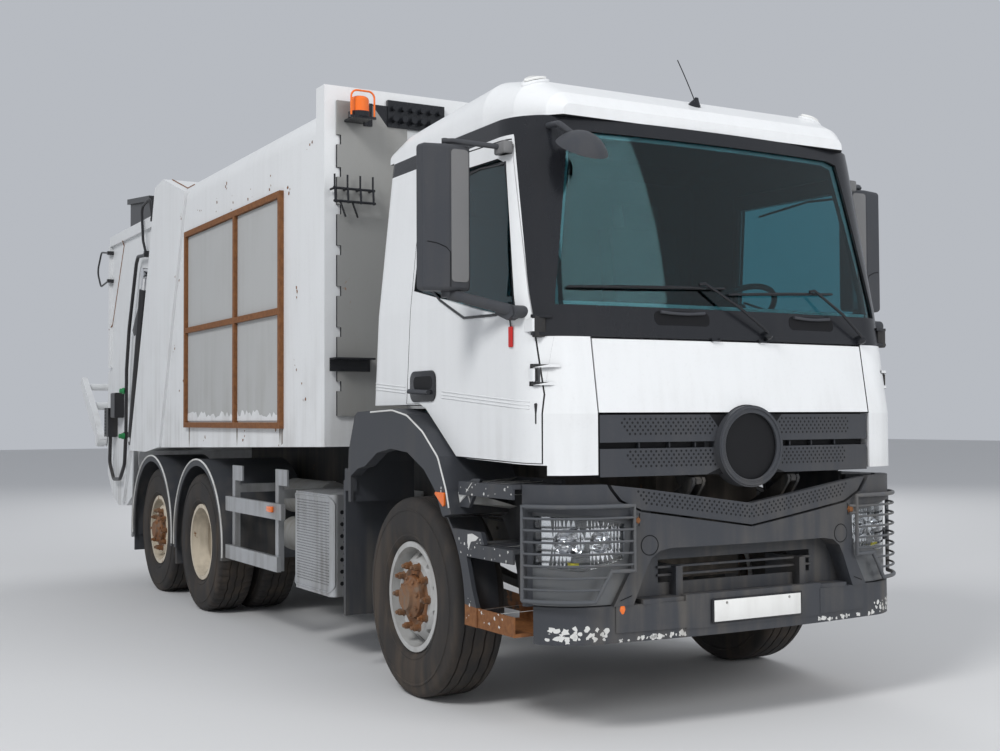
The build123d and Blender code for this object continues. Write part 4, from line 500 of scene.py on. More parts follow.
def make_dirt_group():
    """Dust that gathers low down and in streaks, over any colour."""
    tree, start, end = group_tree(
        "road_dirt",
        [("Color", "NodeSocketColor", (0.8, 0.8, 0.8, 1)),
         ("Dirt", "NodeSocketColor", (*DUST, 1)),
         ("Amount", "NodeSocketFloat", 0.3),
         ("Fade Height", "NodeSocketFloat", 2.2)],
        [("Color", "NodeSocketColor"), ("Mask", "NodeSocketFloat")])
    blotches = add_noise(tree, 2.3, 6).outputs["Fac"]
    streaks = add_noise(tree, 5.0, 5, (3.0, 3.0, 0.25)).outputs["Fac"]
    grain = add_noise(tree, 60, 3).outputs["Fac"]
    place = tree.nodes.new("ShaderNodeTexCoord")
    split = tree.nodes.new("ShaderNodeSeparateXYZ")
    tree.links.new(place.outputs["Object"], split.inputs["Vector"])
    low = add_math(tree, "SUBTRACT", DIRT_LOW,
                   add_range(tree, split.outputs["Z"], DIRT_FOOT_Z, start.outputs["Fade Height"]))
    mixed = add_math(tree, "MULTIPLY", blotches, streaks)
    mixed = add_range(tree, mixed, *DIRT_RANGE)
    mask = add_math(tree, "MULTIPLY", mixed, low)
    mask = add_math(tree, "MULTIPLY", mask, start.outputs["Amount"])
    speckle = add_math(tree, "MULTIPLY", add_range(tree, grain, *SPECKLE_RANGE), SPECKLE_SHARE)
    mask = add_math(tree, "ADD", mask, add_math(tree, "MULTIPLY", speckle,
                                                start.outputs["Amount"]))
    colour = add_mix(tree, mask, start.outputs["Color"], start.outputs["Dirt"])
    tree.links.new(colour, end.inputs["Color"])
    tree.links.new(mask, end.inputs["Mask"])
    return tree


def make_rust_group():
    """Rust-brown patches whose edges bleed into the paint below them."""
    tree, start, end = group_tree(
        "rust_patches",
        [("Color", "NodeSocketColor", (0.8, 0.8, 0.8, 1)),
         ("Spread", "NodeSocketFloat", 0.3),
         ("Scale", "NodeSocketFloat", 3.0)],
        [("Color", "NodeSocketColor"), ("Mask", "NodeSocketFloat")])
    broad = add_noise(tree, 3.0, 8, (1, 1, 0.6))
    tree.links.new(start.outputs["Scale"], broad.inputs["Scale"])
    fine = add_noise(tree, 38, 6)
    mixed = add_math(tree, "ADD", add_math(tree, "MULTIPLY", broad.outputs["Fac"], RUST_BROAD),
                     add_math(tree, "MULTIPLY", fine.outputs["Fac"], RUST_FINE))
    edge = add_math(tree, "SUBTRACT", RUST_EDGE,
                    add_math(tree, "MULTIPLY", start.outputs["Spread"], 0.5))
    mask = add_range(tree, mixed, edge, add_math(tree, "ADD", edge, RUST_EDGE_WIDTH))
    brown = add_mix(tree, fine.outputs["Fac"], RUST_DARK, RUST_LIGHT)
    colour = add_mix(tree, mask, start.outputs["Color"], brown)
    tree.links.new(colour, end.inputs["Color"])
    tree.links.new(mask, end.inputs["Mask"])
    return tree


DIRT_GROUP = make_dirt_group()
RUST_GROUP = make_rust_group()
print("shared effects", DIRT_GROUP.name, RUST_GROUP.name)

# %% [markdown]
# ## Finishes
# Each finish is one Principled shader. Painted and plastic finishes pass their colour through
# the rust and dirt groups; glass and lenses stay plain, because dirt would hide what is behind.

# %% Finishes
DUST_ROUGHNESS = 0.35
RELIEF_DEPTH = 0.002
GLASS_IOR = 1.45
GLASS_ROUGHNESS = 0.02


def finish(name, colour, roughness=0.5, metallic=0.0, dirt=0.0, rust=0.0, coat=0.0,
           fade=2.2, rust_scale=3.0, dirt_colour=DUST, bump=0.0, bump_scale=90):
    material = bpy.data.materials.new(name)
    material.use_nodes = True
    tree = material.node_tree
    shader = tree.nodes["Principled BSDF"]
    shader.inputs["Roughness"].default_value = roughness
    shader.inputs["Metallic"].default_value = metallic
    shader.inputs["Coat Weight"].default_value = coat
    shader.inputs["Base Color"].default_value = (*colour, 1)
    source = None
    if rust:
        node = tree.nodes.new("ShaderNodeGroup")
        node.node_tree = RUST_GROUP
        node.inputs["Color"].default_value = (*colour, 1)
        node.inputs["Spread"].default_value = rust
        node.inputs["Scale"].default_value = rust_scale
        source = node.outputs["Color"]
    if dirt:
        node = tree.nodes.new("ShaderNodeGroup")
        node.node_tree = DIRT_GROUP
        node.inputs["Color"].default_value = (*colour, 1)
        node.inputs["Dirt"].default_value = (*dirt_colour, 1)
        node.inputs["Amount"].default_value = dirt
        node.inputs["Fade Height"].default_value = fade
        if source:
            tree.links.new(source, node.inputs["Color"])
        source = node.outputs["Color"]
        rough = add_math(tree, "ADD", add_math(tree, "MULTIPLY", node.outputs["Mask"],
                                               DUST_ROUGHNESS), roughness)
        tree.links.new(rough, shader.inputs["Roughness"])
    if source:
        tree.links.new(source, shader.inputs["Base Color"])
    if bump:
        grain = add_noise(tree, bump_scale, 4)
        relief = tree.nodes.new("ShaderNodeBump")
        relief.inputs["Strength"].default_value = bump
        relief.inputs["Distance"].default_value = RELIEF_DEPTH
        tree.links.new(grain.outputs["Fac"], relief.inputs["Height"])
        tree.links.new(relief.outputs["Normal"], shader.inputs["Normal"])
    return material


def glass_finish(name, colour):
    material = bpy.data.materials.new(name)
    material.use_nodes = True
    shader = material.node_tree.nodes["Principled BSDF"]
    shader.inputs["Base Color"].default_value = (*colour, 1)
    shader.inputs["Roughness"].default_value = GLASS_ROUGHNESS
    shader.inputs["Transmission Weight"].default_value = 1.0
    shader.inputs["IOR"].default_value = GLASS_IOR
    return material


CAB_WHITE = finish("cab_white", (0.72, 0.73, 0.735), 0.34, dirt=0.3, coat=0.2, fade=1.9)
BODY_WHITE = finish("body_white", (0.70, 0.71, 0.715), 0.45, dirt=0.35, rust=0.05, fade=2.6)
CHARCOAL = finish("charcoal_plastic", (0.042, 0.045, 0.052), 0.55, dirt=0.35, fade=1.6,
                  bump=0.15, bump_scale=900)
GLOSS_BLACK = finish("gloss_black", (0.012, 0.013, 0.016), 0.22, dirt=0.08)
# Black frame paint, also painted on the faces of the door gaps as their shade.
FRAME_BLACK_AND_GAP_SHADE = finish("frame_black_and_gap_shade", (0.022, 0.022, 0.023), 0.6, dirt=0.6, rust=0.2)
RUSTY_STEEL = finish("rusty_steel", (0.20, 0.085, 0.035), 0.8, rust=0.9, rust_scale=14,
                     bump=0.3)
GREY_STEEL = finish("grey_steel", (0.27, 0.27, 0.26), 0.62, dirt=0.5, rust=0.18)
ALUMINIUM = finish("aluminium", (0.55, 0.56, 0.57), 0.42, metallic=0.85, dirt=0.45)
CAST_IRON = finish("cast_iron", (0.05, 0.042, 0.036), 0.75, dirt=0.6, rust=0.4)
TYRE_RUBBER = finish("tyre_rubber", (0.028, 0.026, 0.025), 0.82, dirt=0.55, fade=1.4,
                     dirt_colour=(0.11, 0.085, 0.065), bump=0.25, bump_scale=300)
RIM_SILVER = finish("rim_silver", (0.52, 0.52, 0.51), 0.42, metallic=0.35, dirt=0.3, rust=0.2,
                    rust_scale=9)
RIM_CREAM = finish("rim_cream", (0.60, 0.53, 0.42), 0.6, dirt=0.5, rust=0.28, rust_scale=8)
RAM_BLACK = finish("ram_black", (0.015, 0.015, 0.017), 0.35, dirt=0.25)
CHROME = finish("chrome", (0.75, 0.75, 0.76), 0.12, metallic=1.0)
AMBER = finish("amber_lens", (0.80, 0.16, 0.015), 0.15, coat=0.6)
# Dark trim of the cab's inside, its colour darkened further as painted shade of the unlit cab.
INTERIOR_AND_SHADE = finish("interior_plastic_and_shade", (0.016, 0.017, 0.019), 0.7)
SEAT_CLOTH = finish("seat_cloth", (0.022, 0.024, 0.03), 0.9, bump=0.3, bump_scale=500)
# Near-black for seams, and painted shade for the dark inside of openings, recesses and gaps.
SEAM_BLACK_AND_SHADE = finish("seam_black_and_shade", (0.004, 0.004, 0.005), 0.7)
RUSTY_HUB = finish("rusty_hub", (0.17, 0.105, 0.07), 0.75, dirt=0.6, rust=0.75, rust_scale=16,
                   bump=0.3)
MIRROR_GLASS = finish("mirror_glass", (0.6, 0.62, 0.65), 0.04, metallic=1.0)
GUARD_GREY = finish("guard_grey", (0.075, 0.08, 0.088), 0.42, dirt=0.35)
LAMP_BOWL = finish("lamp_bowl", (0.10, 0.105, 0.11), 0.35, dirt=0.2)
SLIVER = finish("amber_sliver", (0.62, 0.55, 0.03), 0.3)
PLATE_WHITE = finish("plate_white", (0.75, 0.75, 0.73), 0.35, dirt=0.15)
MARKER_LENS = finish("marker_lens", (0.72, 0.72, 0.70), 0.2, coat=0.5)
SEAM_GREY = finish("seam_grey", (0.12, 0.12, 0.12), 0.8)
SHEET_GREY = finish("sheet_grey", (0.42, 0.425, 0.42), 0.6, dirt=0.5, rust=0.12, fade=2.2)
COUPLING_GREEN = finish("coupling_green", (0.02, 0.22, 0.07), 0.4, dirt=0.2)
PIPING_WHITE = finish("piping_white", (0.62, 0.62, 0.60), 0.6, dirt=0.5)
STREAK_GREY = finish("streak_grey", (0.22, 0.20, 0.18), 0.8, dirt=0.4)
RED_TAG = finish("red_tag", (0.5, 0.015, 0.012), 0.5)
MIRROR_GREY = finish("mirror_grey", (0.17, 0.17, 0.172), 0.6, dirt=0.3, bump=0.4, bump_scale=700)
TINTED = glass_finish("tinted_glass", (0.20, 0.42, 0.46))
DOOR_TINT = glass_finish("door_tint", (0.20, 0.46, 0.52))
LAMP_GLASS = glass_finish("lamp_glass", (0.93, 0.95, 0.96))
print("finishes", len(bpy.data.materials))

# %% [markdown]
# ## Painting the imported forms
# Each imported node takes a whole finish; what needs two finishes on one node is repainted below.

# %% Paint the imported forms
NODE_FINISH = {
    "chassis_frame": FRAME_BLACK_AND_GAP_SHADE, "driveline": CAST_IRON, "axles": CAST_IRON,
    "springs": FRAME_BLACK_AND_GAP_SHADE, "load_body": BODY_WHITE, "side_frames": RUSTY_STEEL,
    "bulkhead_fittings": GREY_STEEL, "beacon": AMBER, "tailgate": BODY_WHITE,
    "tail_fittings": RAM_BLACK, "kerb_mirror": CHARCOAL, "bin_lift": BODY_WHITE,
    "cab_shell": CAB_WHITE, "cab_roof": CAB_WHITE, "cab_corner_panels": CAB_WHITE,
    "cab_black_surround": GLOSS_BLACK, "windscreen": TINTED, "front_flap": CAB_WHITE,
    "grille": CHARCOAL, "seats": SEAT_CLOTH, "dashboard": INTERIOR_AND_SHADE, "bumper": CHARCOAL,
    "bumper_slat": CHARCOAL, "lamp_guards": FRAME_BLACK_AND_GAP_SHADE, "entry_steps": CHARCOAL,
    "front_fenders": CHARCOAL, "rear_mudguards": CHARCOAL, "guards": ALUMINIUM,
    "exhaust_box": ALUMINIUM, "fuel_tank": ALUMINIUM, "air_tanks": GREY_STEEL,
}
SIDE_FINISH = {
    "lift_barrel": RAM_BLACK, "lift_rod": CHROME, "door": CAB_WHITE, "door_glass": DOOR_TINT,
    "mirror": CHARCOAL, "drive_rims": RIM_CREAM, "drive_tyres": TYRE_RUBBER,
    "front_knuckle": CAST_IRON, "tag_knuckle": CAST_IRON, "front_rim": RIM_SILVER,
    "tag_rim": RIM_CREAM, "front_tyre": TYRE_RUBBER, "tag_tyre": TYRE_RUBBER,
}


def paint(node, *materials):
    slots = NODES[node].data.materials
    slots.clear()
    for material in materials:
        slots.append(material)


for node, material in NODE_FINISH.items():
    paint(node, material)
for stem, material in SIDE_FINISH.items():
    for side in SIDES:
        paint(f"{stem}_{side}", material)
paint("headlamps", LAMP_BOWL, LAMP_GLASS, CHROME)
print("painted", len(NODE_FINISH) + len(SIDE_FINISH) * 2 + 1, "of", len(NODES))

# %% [markdown]
# ## Second finishes on packed forms
# Some packed forms show two finishes: a cab is white outside and dark inside, a wheel's hub rusts
# where its rim stays painted. The cab's dark inside is its trim, darkened further as painted
# shade.
# The faces are picked by their place and direction.

# %% Second finishes on packed forms
SQUARE_ON = 0.9
CAB_HEART_X = fx(0.35)
CAB_HEART_Z = (1.9, 2.6)
CAB_FLOOR_Z = 1.62
CAB_INNER_Y = 1.13
HUB_RADIUS = 0.192
STEERED_HUB = 0.153
STEERED_HUB_Y = 1.1628
DRIVE_HUB = 0.114
MIRROR_FACE_X = fx(0.7005)
MIRROR_FACE_Y = (1.27, 1.475)
MIRROR_FACE_Z = (2.14, 2.76)


def paint_where(node, material, test):
    """A second finish on the faces whose middle and direction pass a test."""
    obj = NODES[node]
    obj.data.materials.append(material)
    index = len(obj.data.materials) - 1
    for polygon in obj.data.polygons:
        if test(obj.matrix_world @ polygon.center, polygon.normal):
            polygon.material_index = index


def cab_inside(place, normal):
    """Faces that look into the cab: dark trim, darkened further as painted shade."""
    low, high = CAB_HEART_Z
    heart = Vector((CAB_HEART_X, 0.0, min(max(place.z, low), high)))
    return (normal.dot(heart - place) > 0 and place.z > CAB_FLOOR_Z
            and abs(place.y) < CAB_INNER_Y)


def hub_of(axle, radius, out=math.inf):
    """Faces near an axle, and a little farther from it where they stand out beyond the rim."""
    def test(place, normal):
        far = math.hypot(place.x - axle.x, place.z - axle.z)
        return far < radius or (far < HUB_RADIUS and abs(place.y) > out)
    return test


def mirror_face(place, normal):
    """The glass in the back of a mirror's housing."""
    (low_y, high_y), (low_z, high_z) = MIRROR_FACE_Y, MIRROR_FACE_Z
    return (normal.x < -SQUARE_ON and place.x > MIRROR_FACE_X
            and low_y < abs(place.y) < high_y and low_z < place.z < high_z)


# The cab's inner faces take the dark trim, which is also painted shade.
for node in ("cab_shell", "cab_roof", "cab_black_surround", "cab_corner_panels"):
    paint_where(node, INTERIOR_AND_SHADE, cab_inside)
for side in SIDES:
    paint_where(f"door_{side}", INTERIOR_AND_SHADE, cab_inside)
    paint_where(f"front_rim_{side}", RUSTY_HUB, hub_of(FRONT_AXLE, STEERED_HUB, STEERED_HUB_Y))
    paint_where(f"tag_rim_{side}", RUSTY_HUB, hub_of(TAG_AXLE, STEERED_HUB, STEERED_HUB_Y))
    paint_where(f"drive_rims_{side}", RUSTY_HUB, hub_of(DRIVE_AXLE, DRIVE_HUB))
    paint_where(f"mirror_{side}", MIRROR_GLASS, mirror_face)
print("second finishes", len(bpy.data.materials), "materials")

# %% [markdown]
# ## Tyres
# A tyre is moulded: a smooth bead, a bulging wall with rings, a shoulder, and a tread cut by
# zigzag grooves. Steered axles carry ribs, the driven axle carries blocks. Each tyre is one skin
# turned about its axle whose radius drops where a groove runs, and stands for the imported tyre.

# %% Tyres
TYRE_STEPS = 224
ZIGZAG_STEPS = 8
BLOCK_STEPS = 4
TREAD_DEPTH = 0.011
SHOULDER_DEPTH = TREAD_DEPTH * 0.8
SHOULDER_RADIUS = 0.505
SHOULDER_WIDTH = 0.05
STRAIGHT_EDGE = 0.06
BLOCK_INNER = 0.06
GROOVE_WIDTH = 0.010
GROOVE_SLOPE = 0.002
BLOCK_ZIGZAG = 0.0022
RIB_ZIGZAG = 0.0012
WALL = ((-0.035, 0.2835), (-0.031, 0.300), (-0.014, 0.312), (-0.006, 0.326), (-0.009, 0.334),
        (-0.003, 0.352), (0.0, 0.385), (0.0, 0.425), (-0.003, 0.455), (0.0005, 0.460),
        (0.0005, 0.466), (-0.005, 0.470), (-0.009, 0.490), (-0.011, 0.503), (-0.015, 0.513),
        (-0.022, 0.521), (-0.034, 0.5275))


def tread_columns(half, grooves):
    """(distance from the middle, kind) from one shoulder to the other."""
    columns = [(-half + SHOULDER_WIDTH, "top")]
    for place in grooves:
        low, high = place - GROOVE_WIDTH / 2, place + GROOVE_WIDTH / 2
        columns += [(low, "top"), (low + GROOVE_SLOPE, "floor"), (high - GROOVE_SLOPE, "floor"),
                    (high, "top")]
    return columns + [(half - SHOULDER_WIDTH, "top")]


def tyre_skin(centre, half, grooves, blocks):
    """Points and faces of one tyre; blocks adds cross grooves to its shoulders."""
    rows = [(-half - inset, radius, "wall") for inset, radius in WALL]
    rows += [(place, TYRE_RADIUS, kind) for place, kind in tread_columns(half, grooves)]
    rows += [(half + inset, radius, "wall") for inset, radius in reversed(WALL)]
    points, faces = [], []
    for step in range(TYRE_STEPS):
        angle = FULL_TURN * step / TYRE_STEPS
        zigzag = abs(step % ZIGZAG_STEPS - ZIGZAG_STEPS / 2) - ZIGZAG_STEPS / 4
        zigzag *= BLOCK_ZIGZAG if blocks else RIB_ZIGZAG
        cut = blocks and step % BLOCK_STEPS == 0
        for place, radius, kind in rows:
            if kind == "floor" or (kind == "top" and cut and abs(place) > BLOCK_INNER):
                radius -= TREAD_DEPTH
            elif kind == "wall" and cut and radius > SHOULDER_RADIUS:
                radius -= SHOULDER_DEPTH
            straight = kind == "wall" or abs(place) > half - STRAIGHT_EDGE
            points.append((centre.x + radius * math.cos(angle),
                           centre.y + place + (0.0 if straight else zigzag),
                           centre.z + radius * math.sin(angle)))
    count = len(rows)
    for step in range(TYRE_STEPS):
        here, there = step * count, (step + 1) % TYRE_STEPS * count
        for row in range(count):
            following = (row + 1) % count
            faces.append((here + row, here + following, there + following, there + row))
    return points, faces


def tyre_piece(name, node, body, centres, half, grooves, blocks):
    points, faces = [], []
    for centre in centres:
        skin = tyre_skin(centre, half, grooves, blocks)
        start = len(points)
        points += skin[0]
        faces += [[start + i for i in face] for face in skin[1]]
    obj = mesh_piece(name, points, faces, body, TYRE_RUBBER, True)
    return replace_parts(obj, node)


RIB_GROOVES = (-0.092, -0.034, 0.034, 0.092)
BLOCK_GROOVES = (-0.055, 0.0, 0.055)
SINGLE_HALF = 0.155
SINGLE_Y = 1.045
TWIN_HALF = 0.1475
TWIN_Y = (1.0875, 0.7425)
for side, sign in SIDES.items():
    for axle, place in (("front", FRONT_AXLE), ("tag", TAG_AXLE)):
        tyre_piece(f"{axle}_tread_{side}", f"{axle}_tyre_{side}", f"{axle}_wheel_{side}",
                   [Vector((place.x, sign * SINGLE_Y, place.z))], SINGLE_HALF, RIB_GROOVES, False)
    centres = [Vector((DRIVE_AXLE.x, sign * out, DRIVE_AXLE.z)) for out in TWIN_Y]
    tyre_piece(f"drive_treads_{side}", f"drive_tyres_{side}", f"drive_wheels_{side}", centres,
               TWIN_HALF, BLOCK_GROOVES, True)
print("tyres", len(SIDES) * 3)

# %% [markdown]
# ## Wheel nuts and hub bolts
# Ten nuts with their washers and stud ends hold each wheel, and a ring of small bolts holds the
# hub's cap. On this truck they are rust brown.

# %% Wheel nuts and hub bolts
NUT_CIRCLE = 0.1675
NUT_COUNT = 10
NUT_VARIATION = 0.03
NUT_SEAT_Y = {"front": 1.162, "drive": 0.929, "tag": 1.162}
CAP_CIRCLE = {"front": 0.095, "drive": 0.100, "tag": 0.095}
CAP_BOLTS = 8
CAP_TURN = 0.2

for side, sign in SIDES.items():
    for axle, place, body, rim in (
            ("front", FRONT_AXLE, f"front_wheel_{side}", f"front_rim_{side}"),
            ("drive", DRIVE_AXLE, f"drive_wheels_{side}", f"drive_rims_{side}"),
            ("tag", TAG_AXLE, f"tag_wheel_{side}", f"tag_rim_{side}")):
        centre, cap = (place.x, place.z), CAP_CIRCLE[axle]
        nuts = [(Vector((x, sign * NUT_SEAT_Y[axle], z)), Vector((0, sign, 0)))
                for x, z in oval(centre, (NUT_CIRCLE, NUT_CIRCLE), NUT_COUNT)]
        repeat_piece(f"{axle}_nuts_{side}", nuts, WHEEL_NUT, body, RUSTY_HUB,
                     variation=NUT_VARIATION)
        bolts = seats_on(surface_of(rim), from_side(sign),
                         oval(centre, (cap, cap), CAP_BOLTS, start=CAP_TURN))
        repeat_piece(f"{axle}_cap_bolts_{side}", bolts, HEX_BOLT, body, RUSTY_HUB)
print("wheel nuts", NUT_COUNT * 6)

# %% [markdown]
# ## Grille and the slat below it
# The slats are moulded with staggered rows of small round openings. Each opening is a thin black
# disc on the slat, seated by looking at it from ahead: painted shade for the dark inside of the
# opening. The round badge stays plain, with a fine dark mesh behind its ring, whose openings are
# black discs of painted shade as well.

# %% Grille
HOLE_PITCH = 0.0285
HOLE_RADIUS = 0.0062
SLATS = ((1.474, 0.0175, 0.74), (1.321, 0.0172, 0.71))
SLAT_ROWS = 5
SLAT_SLANT = 0.5
BADGE_Z = 1.338
BADGE_RADIUS = 0.2
BADGE_GAP = 0.012
MESH_RADIUS = 0.15
MESH_HALF = 0.16
MESH_ROWS = 29
MESH_STEP = 0.0105
MESH_PITCH = 0.012
MESH_HOLE = 0.0040


def staggered(low, high, heights, pitch):
    """Spots in rows at some heights, every second row moved by half a pitch."""
    return [(low + (index + (row % 2) * 0.5) * pitch, z) for row, z in enumerate(heights)
            for index in range(int((high - low) / pitch))]


grille_skin = surface_of("grille")
hole_spots = []
for top, step, reach in SLATS:
    heights = [top - step * row for row in range(SLAT_ROWS)]
    hole_spots += [(y, z) for y, z in staggered(-reach, reach, heights, HOLE_PITCH)
                   if math.hypot(y, z - BADGE_Z) > BADGE_RADIUS + BADGE_GAP
                   and abs(y) < reach - (top - z) * SLAT_SLANT]
hole_seats = seats_on(grille_skin, from_ahead, hole_spots)
# The openings are black discs of painted shade, for the dark inside of each opening.
repeat_piece("grille_openings", hole_seats, PERFORATION, "front_flap", SEAM_BLACK_AND_SHADE, HOLE_RADIUS)
heights = [-MESH_RADIUS + MESH_STEP * row for row in range(MESH_ROWS)]
mesh_spots = [(y, BADGE_Z + z) for y, z in staggered(-MESH_HALF, MESH_HALF, heights, MESH_PITCH)
              if math.hypot(y, z) < MESH_RADIUS]
# The badge's mesh openings are black discs of painted shade too.
repeat_piece("badge_mesh", seats_on(grille_skin, from_ahead, mesh_spots), PERFORATION,
             "front_flap", SEAM_BLACK_AND_SHADE, MESH_HOLE)
print("grille openings", len(hole_seats), "badge mesh", len(mesh_spots))

# %% Openings in the lower slat
VEE_ROWS = 4
VEE_HALF_ROW = 23
VEE_HALF = 0.66
VEE_SLANT = 0.012
VEE_TOP_Z = 1.060
VEE_RISE = 0.141
VEE_EDGE = 0.017
VEE_STEP = 0.0165
VEE_FRONT_X = fx(1.26)
bumper_skin = surface_of("bumper", "bumper_slat")
vee_spots = []
for row in range(VEE_ROWS):
    for index in range(-VEE_HALF_ROW, VEE_HALF_ROW + 1):
        y = (index + (row % 2) * 0.5) * HOLE_PITCH
        if abs(y) < VEE_HALF - row * VEE_SLANT:
            vee_spots.append((y, VEE_TOP_Z + VEE_RISE * abs(y) - VEE_EDGE - row * VEE_STEP))
vee_seats = [seat for seat in seats_on(bumper_skin, from_ahead, vee_spots)
             if seat[0].x > VEE_FRONT_X]
# The openings are black discs of painted shade, as on the grille.
repeat_piece("lower_slat_openings", vee_seats, PERFORATION, "chassis", SEAM_BLACK_AND_SHADE, HOLE_RADIUS)
print("lower slat openings", len(vee_seats))

# %% [markdown]
# ## Badge ring and gap ribs
# The badge has a round rim on a cone, and short upright ribs stiffen the gaps between the slats.

# %% Badge ring and gap ribs
BADGE_CREST = 0.186
BADGE_RIMS = ((0.0, 0.188), (0.004, 0.168))
BADGE_RIM_STEPS = 64
BADGE_TUBE = 0.006
GAP_RIBS_Y = (-0.62, -0.45, -0.30, 0.30, 0.45, 0.62)
GAP_Z = 1.35
GAP_RIB_HALF_Y = 0.004
GAP_RIB_HALF_Z = 0.014
GAP_RIB_X = (-0.002, 0.022)
badge_front = seat_on(grille_skin, from_ahead, 0.0, BADGE_Z + BADGE_CREST)[0].x
tube_piece("badge_rim", [[(badge_front - back, y, z) for y, z in
                          oval((0.0, BADGE_Z), (radius, radius), BADGE_RIM_STEPS, True)]
                         for back, radius in BADGE_RIMS], BADGE_TUBE, "front_flap", CHARCOAL)
gap_seats = seats_on(grille_skin, from_ahead, [(y, GAP_Z) for y in GAP_RIBS_Y])
boxes_piece("gap_ribs", [((place.x + GAP_RIB_X[0], place.y - GAP_RIB_HALF_Y,
                           GAP_Z - GAP_RIB_HALF_Z),
                          (place.x + GAP_RIB_X[1], place.y + GAP_RIB_HALF_Y,
                           GAP_Z + GAP_RIB_HALF_Z)) for place, _ in gap_seats],
            "front_flap", CHARCOAL, 0.001)
print("gap ribs", len(gap_seats))

# %% [markdown]
# ## Lamp guards
# Each headlamp stands behind a guard of round bars: a thick rim with a step at its lower inner
# corner, and thinner bars across it. They are bent bars welded at their ends, so they are made as
# tubes along the bumper's corner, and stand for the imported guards.

# %% Lamp guards
GUARD_BEND = 0.350
BAR_BEND = GUARD_BEND + 0.0075
CORNER_X = fx(1.350 - GUARD_BEND)
CORNER_Y = 1.180 - GUARD_BEND
GUARD_REAR_X = fx(1.130)
GUARD_LEAN = 0.1
GUARD_TOP, GUARD_LOW, GUARD_STEP = 1.073, 0.640, 0.774
GUARD_INNER, GUARD_LOW_INNER = 0.700, 0.905
GUARD_SLANT = 0.6
GUARD_NOTCH_Y, GUARD_NOTCH_Z = 0.862, 0.712
STEP_LINE_Y = (0.700, 0.74, 0.78, 0.822)
BAR_GAPS = 8
BAR_PITCH = 0.03
BEND_STEPS = 14
RIM_BAR, THIN_BAR, FOOT_BAR = 0.0105, 0.0058, 0.008
FOOT_Y, FOOT_END_Y = 0.672, 0.702
FEET_Z = (0.985, 1.02)


def guard_point(sign, y):
    """Place in plan on the guard's line at a distance across the truck."""
    if y <= CORNER_Y:
        return CORNER_X + BAR_BEND + GUARD_LEAN * (CORNER_Y - y), sign * y
    reach = min((y - CORNER_Y) / BAR_BEND, 1.0)
    return CORNER_X + BAR_BEND * math.sqrt(1 - reach * reach), sign * y


def guard_route(sign, inner, z):
    """Points of one bar from its inner end round the corner to the rear."""
    route = []
    y = inner
    while y < CORNER_Y:
        route.append((*guard_point(sign, y), z))
        y += BAR_PITCH
    first = math.acos(max(inner - CORNER_Y, 0.0) / BAR_BEND)
    last = math.asin((GUARD_REAR_X - CORNER_X) / BAR_BEND)
    for share in shares(BEND_STEPS):
        angle = between(first, last, share)
        route.append((CORNER_X + BAR_BEND * math.sin(angle),
                      sign * (CORNER_Y + BAR_BEND * math.cos(angle)), z))
    return route


for side, sign in SIDES.items():
    top = guard_route(sign, GUARD_INNER, GUARD_TOP)
    low = guard_route(sign, GUARD_LOW_INNER, GUARD_LOW)
    notch = (*guard_point(sign, GUARD_NOTCH_Y), GUARD_NOTCH_Z)
    step_line = [(*guard_point(sign, y), GUARD_STEP) for y in STEP_LINE_Y]
    rim = low[::-1] + [notch] + step_line[::-1] + top + [low[-1]]
    bars = []
    for share in shares(BAR_GAPS)[1:-1]:
        z = between(GUARD_LOW, GUARD_TOP, share)
        slanted = GUARD_LOW_INNER - (z - GUARD_LOW) * GUARD_SLANT
        bars.append(guard_route(sign, GUARD_INNER if z > GUARD_STEP else slanted, z))
    outer = tube_piece(f"guard_rim_{side}", [rim], RIM_BAR, "chassis", GUARD_GREY)
    tube_piece(f"guard_bars_{side}", bars, THIN_BAR, "chassis", GUARD_GREY)
    feet = seats_on(bumper_skin, from_ahead, [(sign * FOOT_Y, z) for z in FEET_Z])
    tube_piece(f"guard_feet_{side}", [[tuple(place), (*guard_point(sign, FOOT_END_Y), place.z)]
                                      for place, _ in feet], FOOT_BAR, "chassis", GUARD_GREY)
    if side == "left":
        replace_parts(outer, "lamp_guards")
print("lamp guards done")

# %% [markdown]
# ## Headlamps
# Behind the clear cover stand a bright reflector bowl for each bulb, upright silvered flutes in a
# grey housing, and a sliver of amber below.

# %% Headlamps
REFLECTORS = ((0.820, 0.078), (0.985, 0.092))
REFLECTOR_EDGE = 0.001
LAMP_Z = 0.905
LENS_FOOT_Z = 0.74
BOWL_FACING = -0.2
LAMP_FRONT, LAMP_INNER_Y = 1.330, 0.700
BULB_SWEEP, BULB_BACK = 0.28, 0.055
FLUTE_SWEEP, FLUTE_BACK = 0.22, 0.045
FLUTES_Y = (0.725, 0.742, 0.759, 0.905, 0.922)
FLUTES_Z = (0.842, 0.975)
FLUTE_RADIUS = 0.007
SLIVER_OUTLINE = ((1.245, 0.90, 0.790), (1.233, 0.98, 0.800), (1.233, 0.98, 0.812),
                  (1.245, 0.90, 0.806))
BULB = turned_shape([(0, 0.026), (0.012, 0.026), (0.013, 0.014), (0.03, 0.014), (0.038, 0.008)],
                    16)


def islands(mesh):
    """Faces of a mesh in their joined-up groups."""
    parent = list(range(len(mesh.vertices)))

    def root(i):
        while parent[i] != i:
            parent[i] = parent[parent[i]]
            i = parent[i]
        return i

    spots = {}
    for vertex in mesh.vertices:
        key = tuple(round(c, 5) for c in vertex.co)
        parent[root(vertex.index)] = root(spots.setdefault(key, vertex.index))
    for polygon in mesh.polygons:
        for other in polygon.vertices[1:]:
            parent[root(other)] = root(polygon.vertices[0])
    groups = {}
    for polygon in mesh.polygons:
        groups.setdefault(root(polygon.vertices[0]), []).append(polygon)
    return list(groups.values())


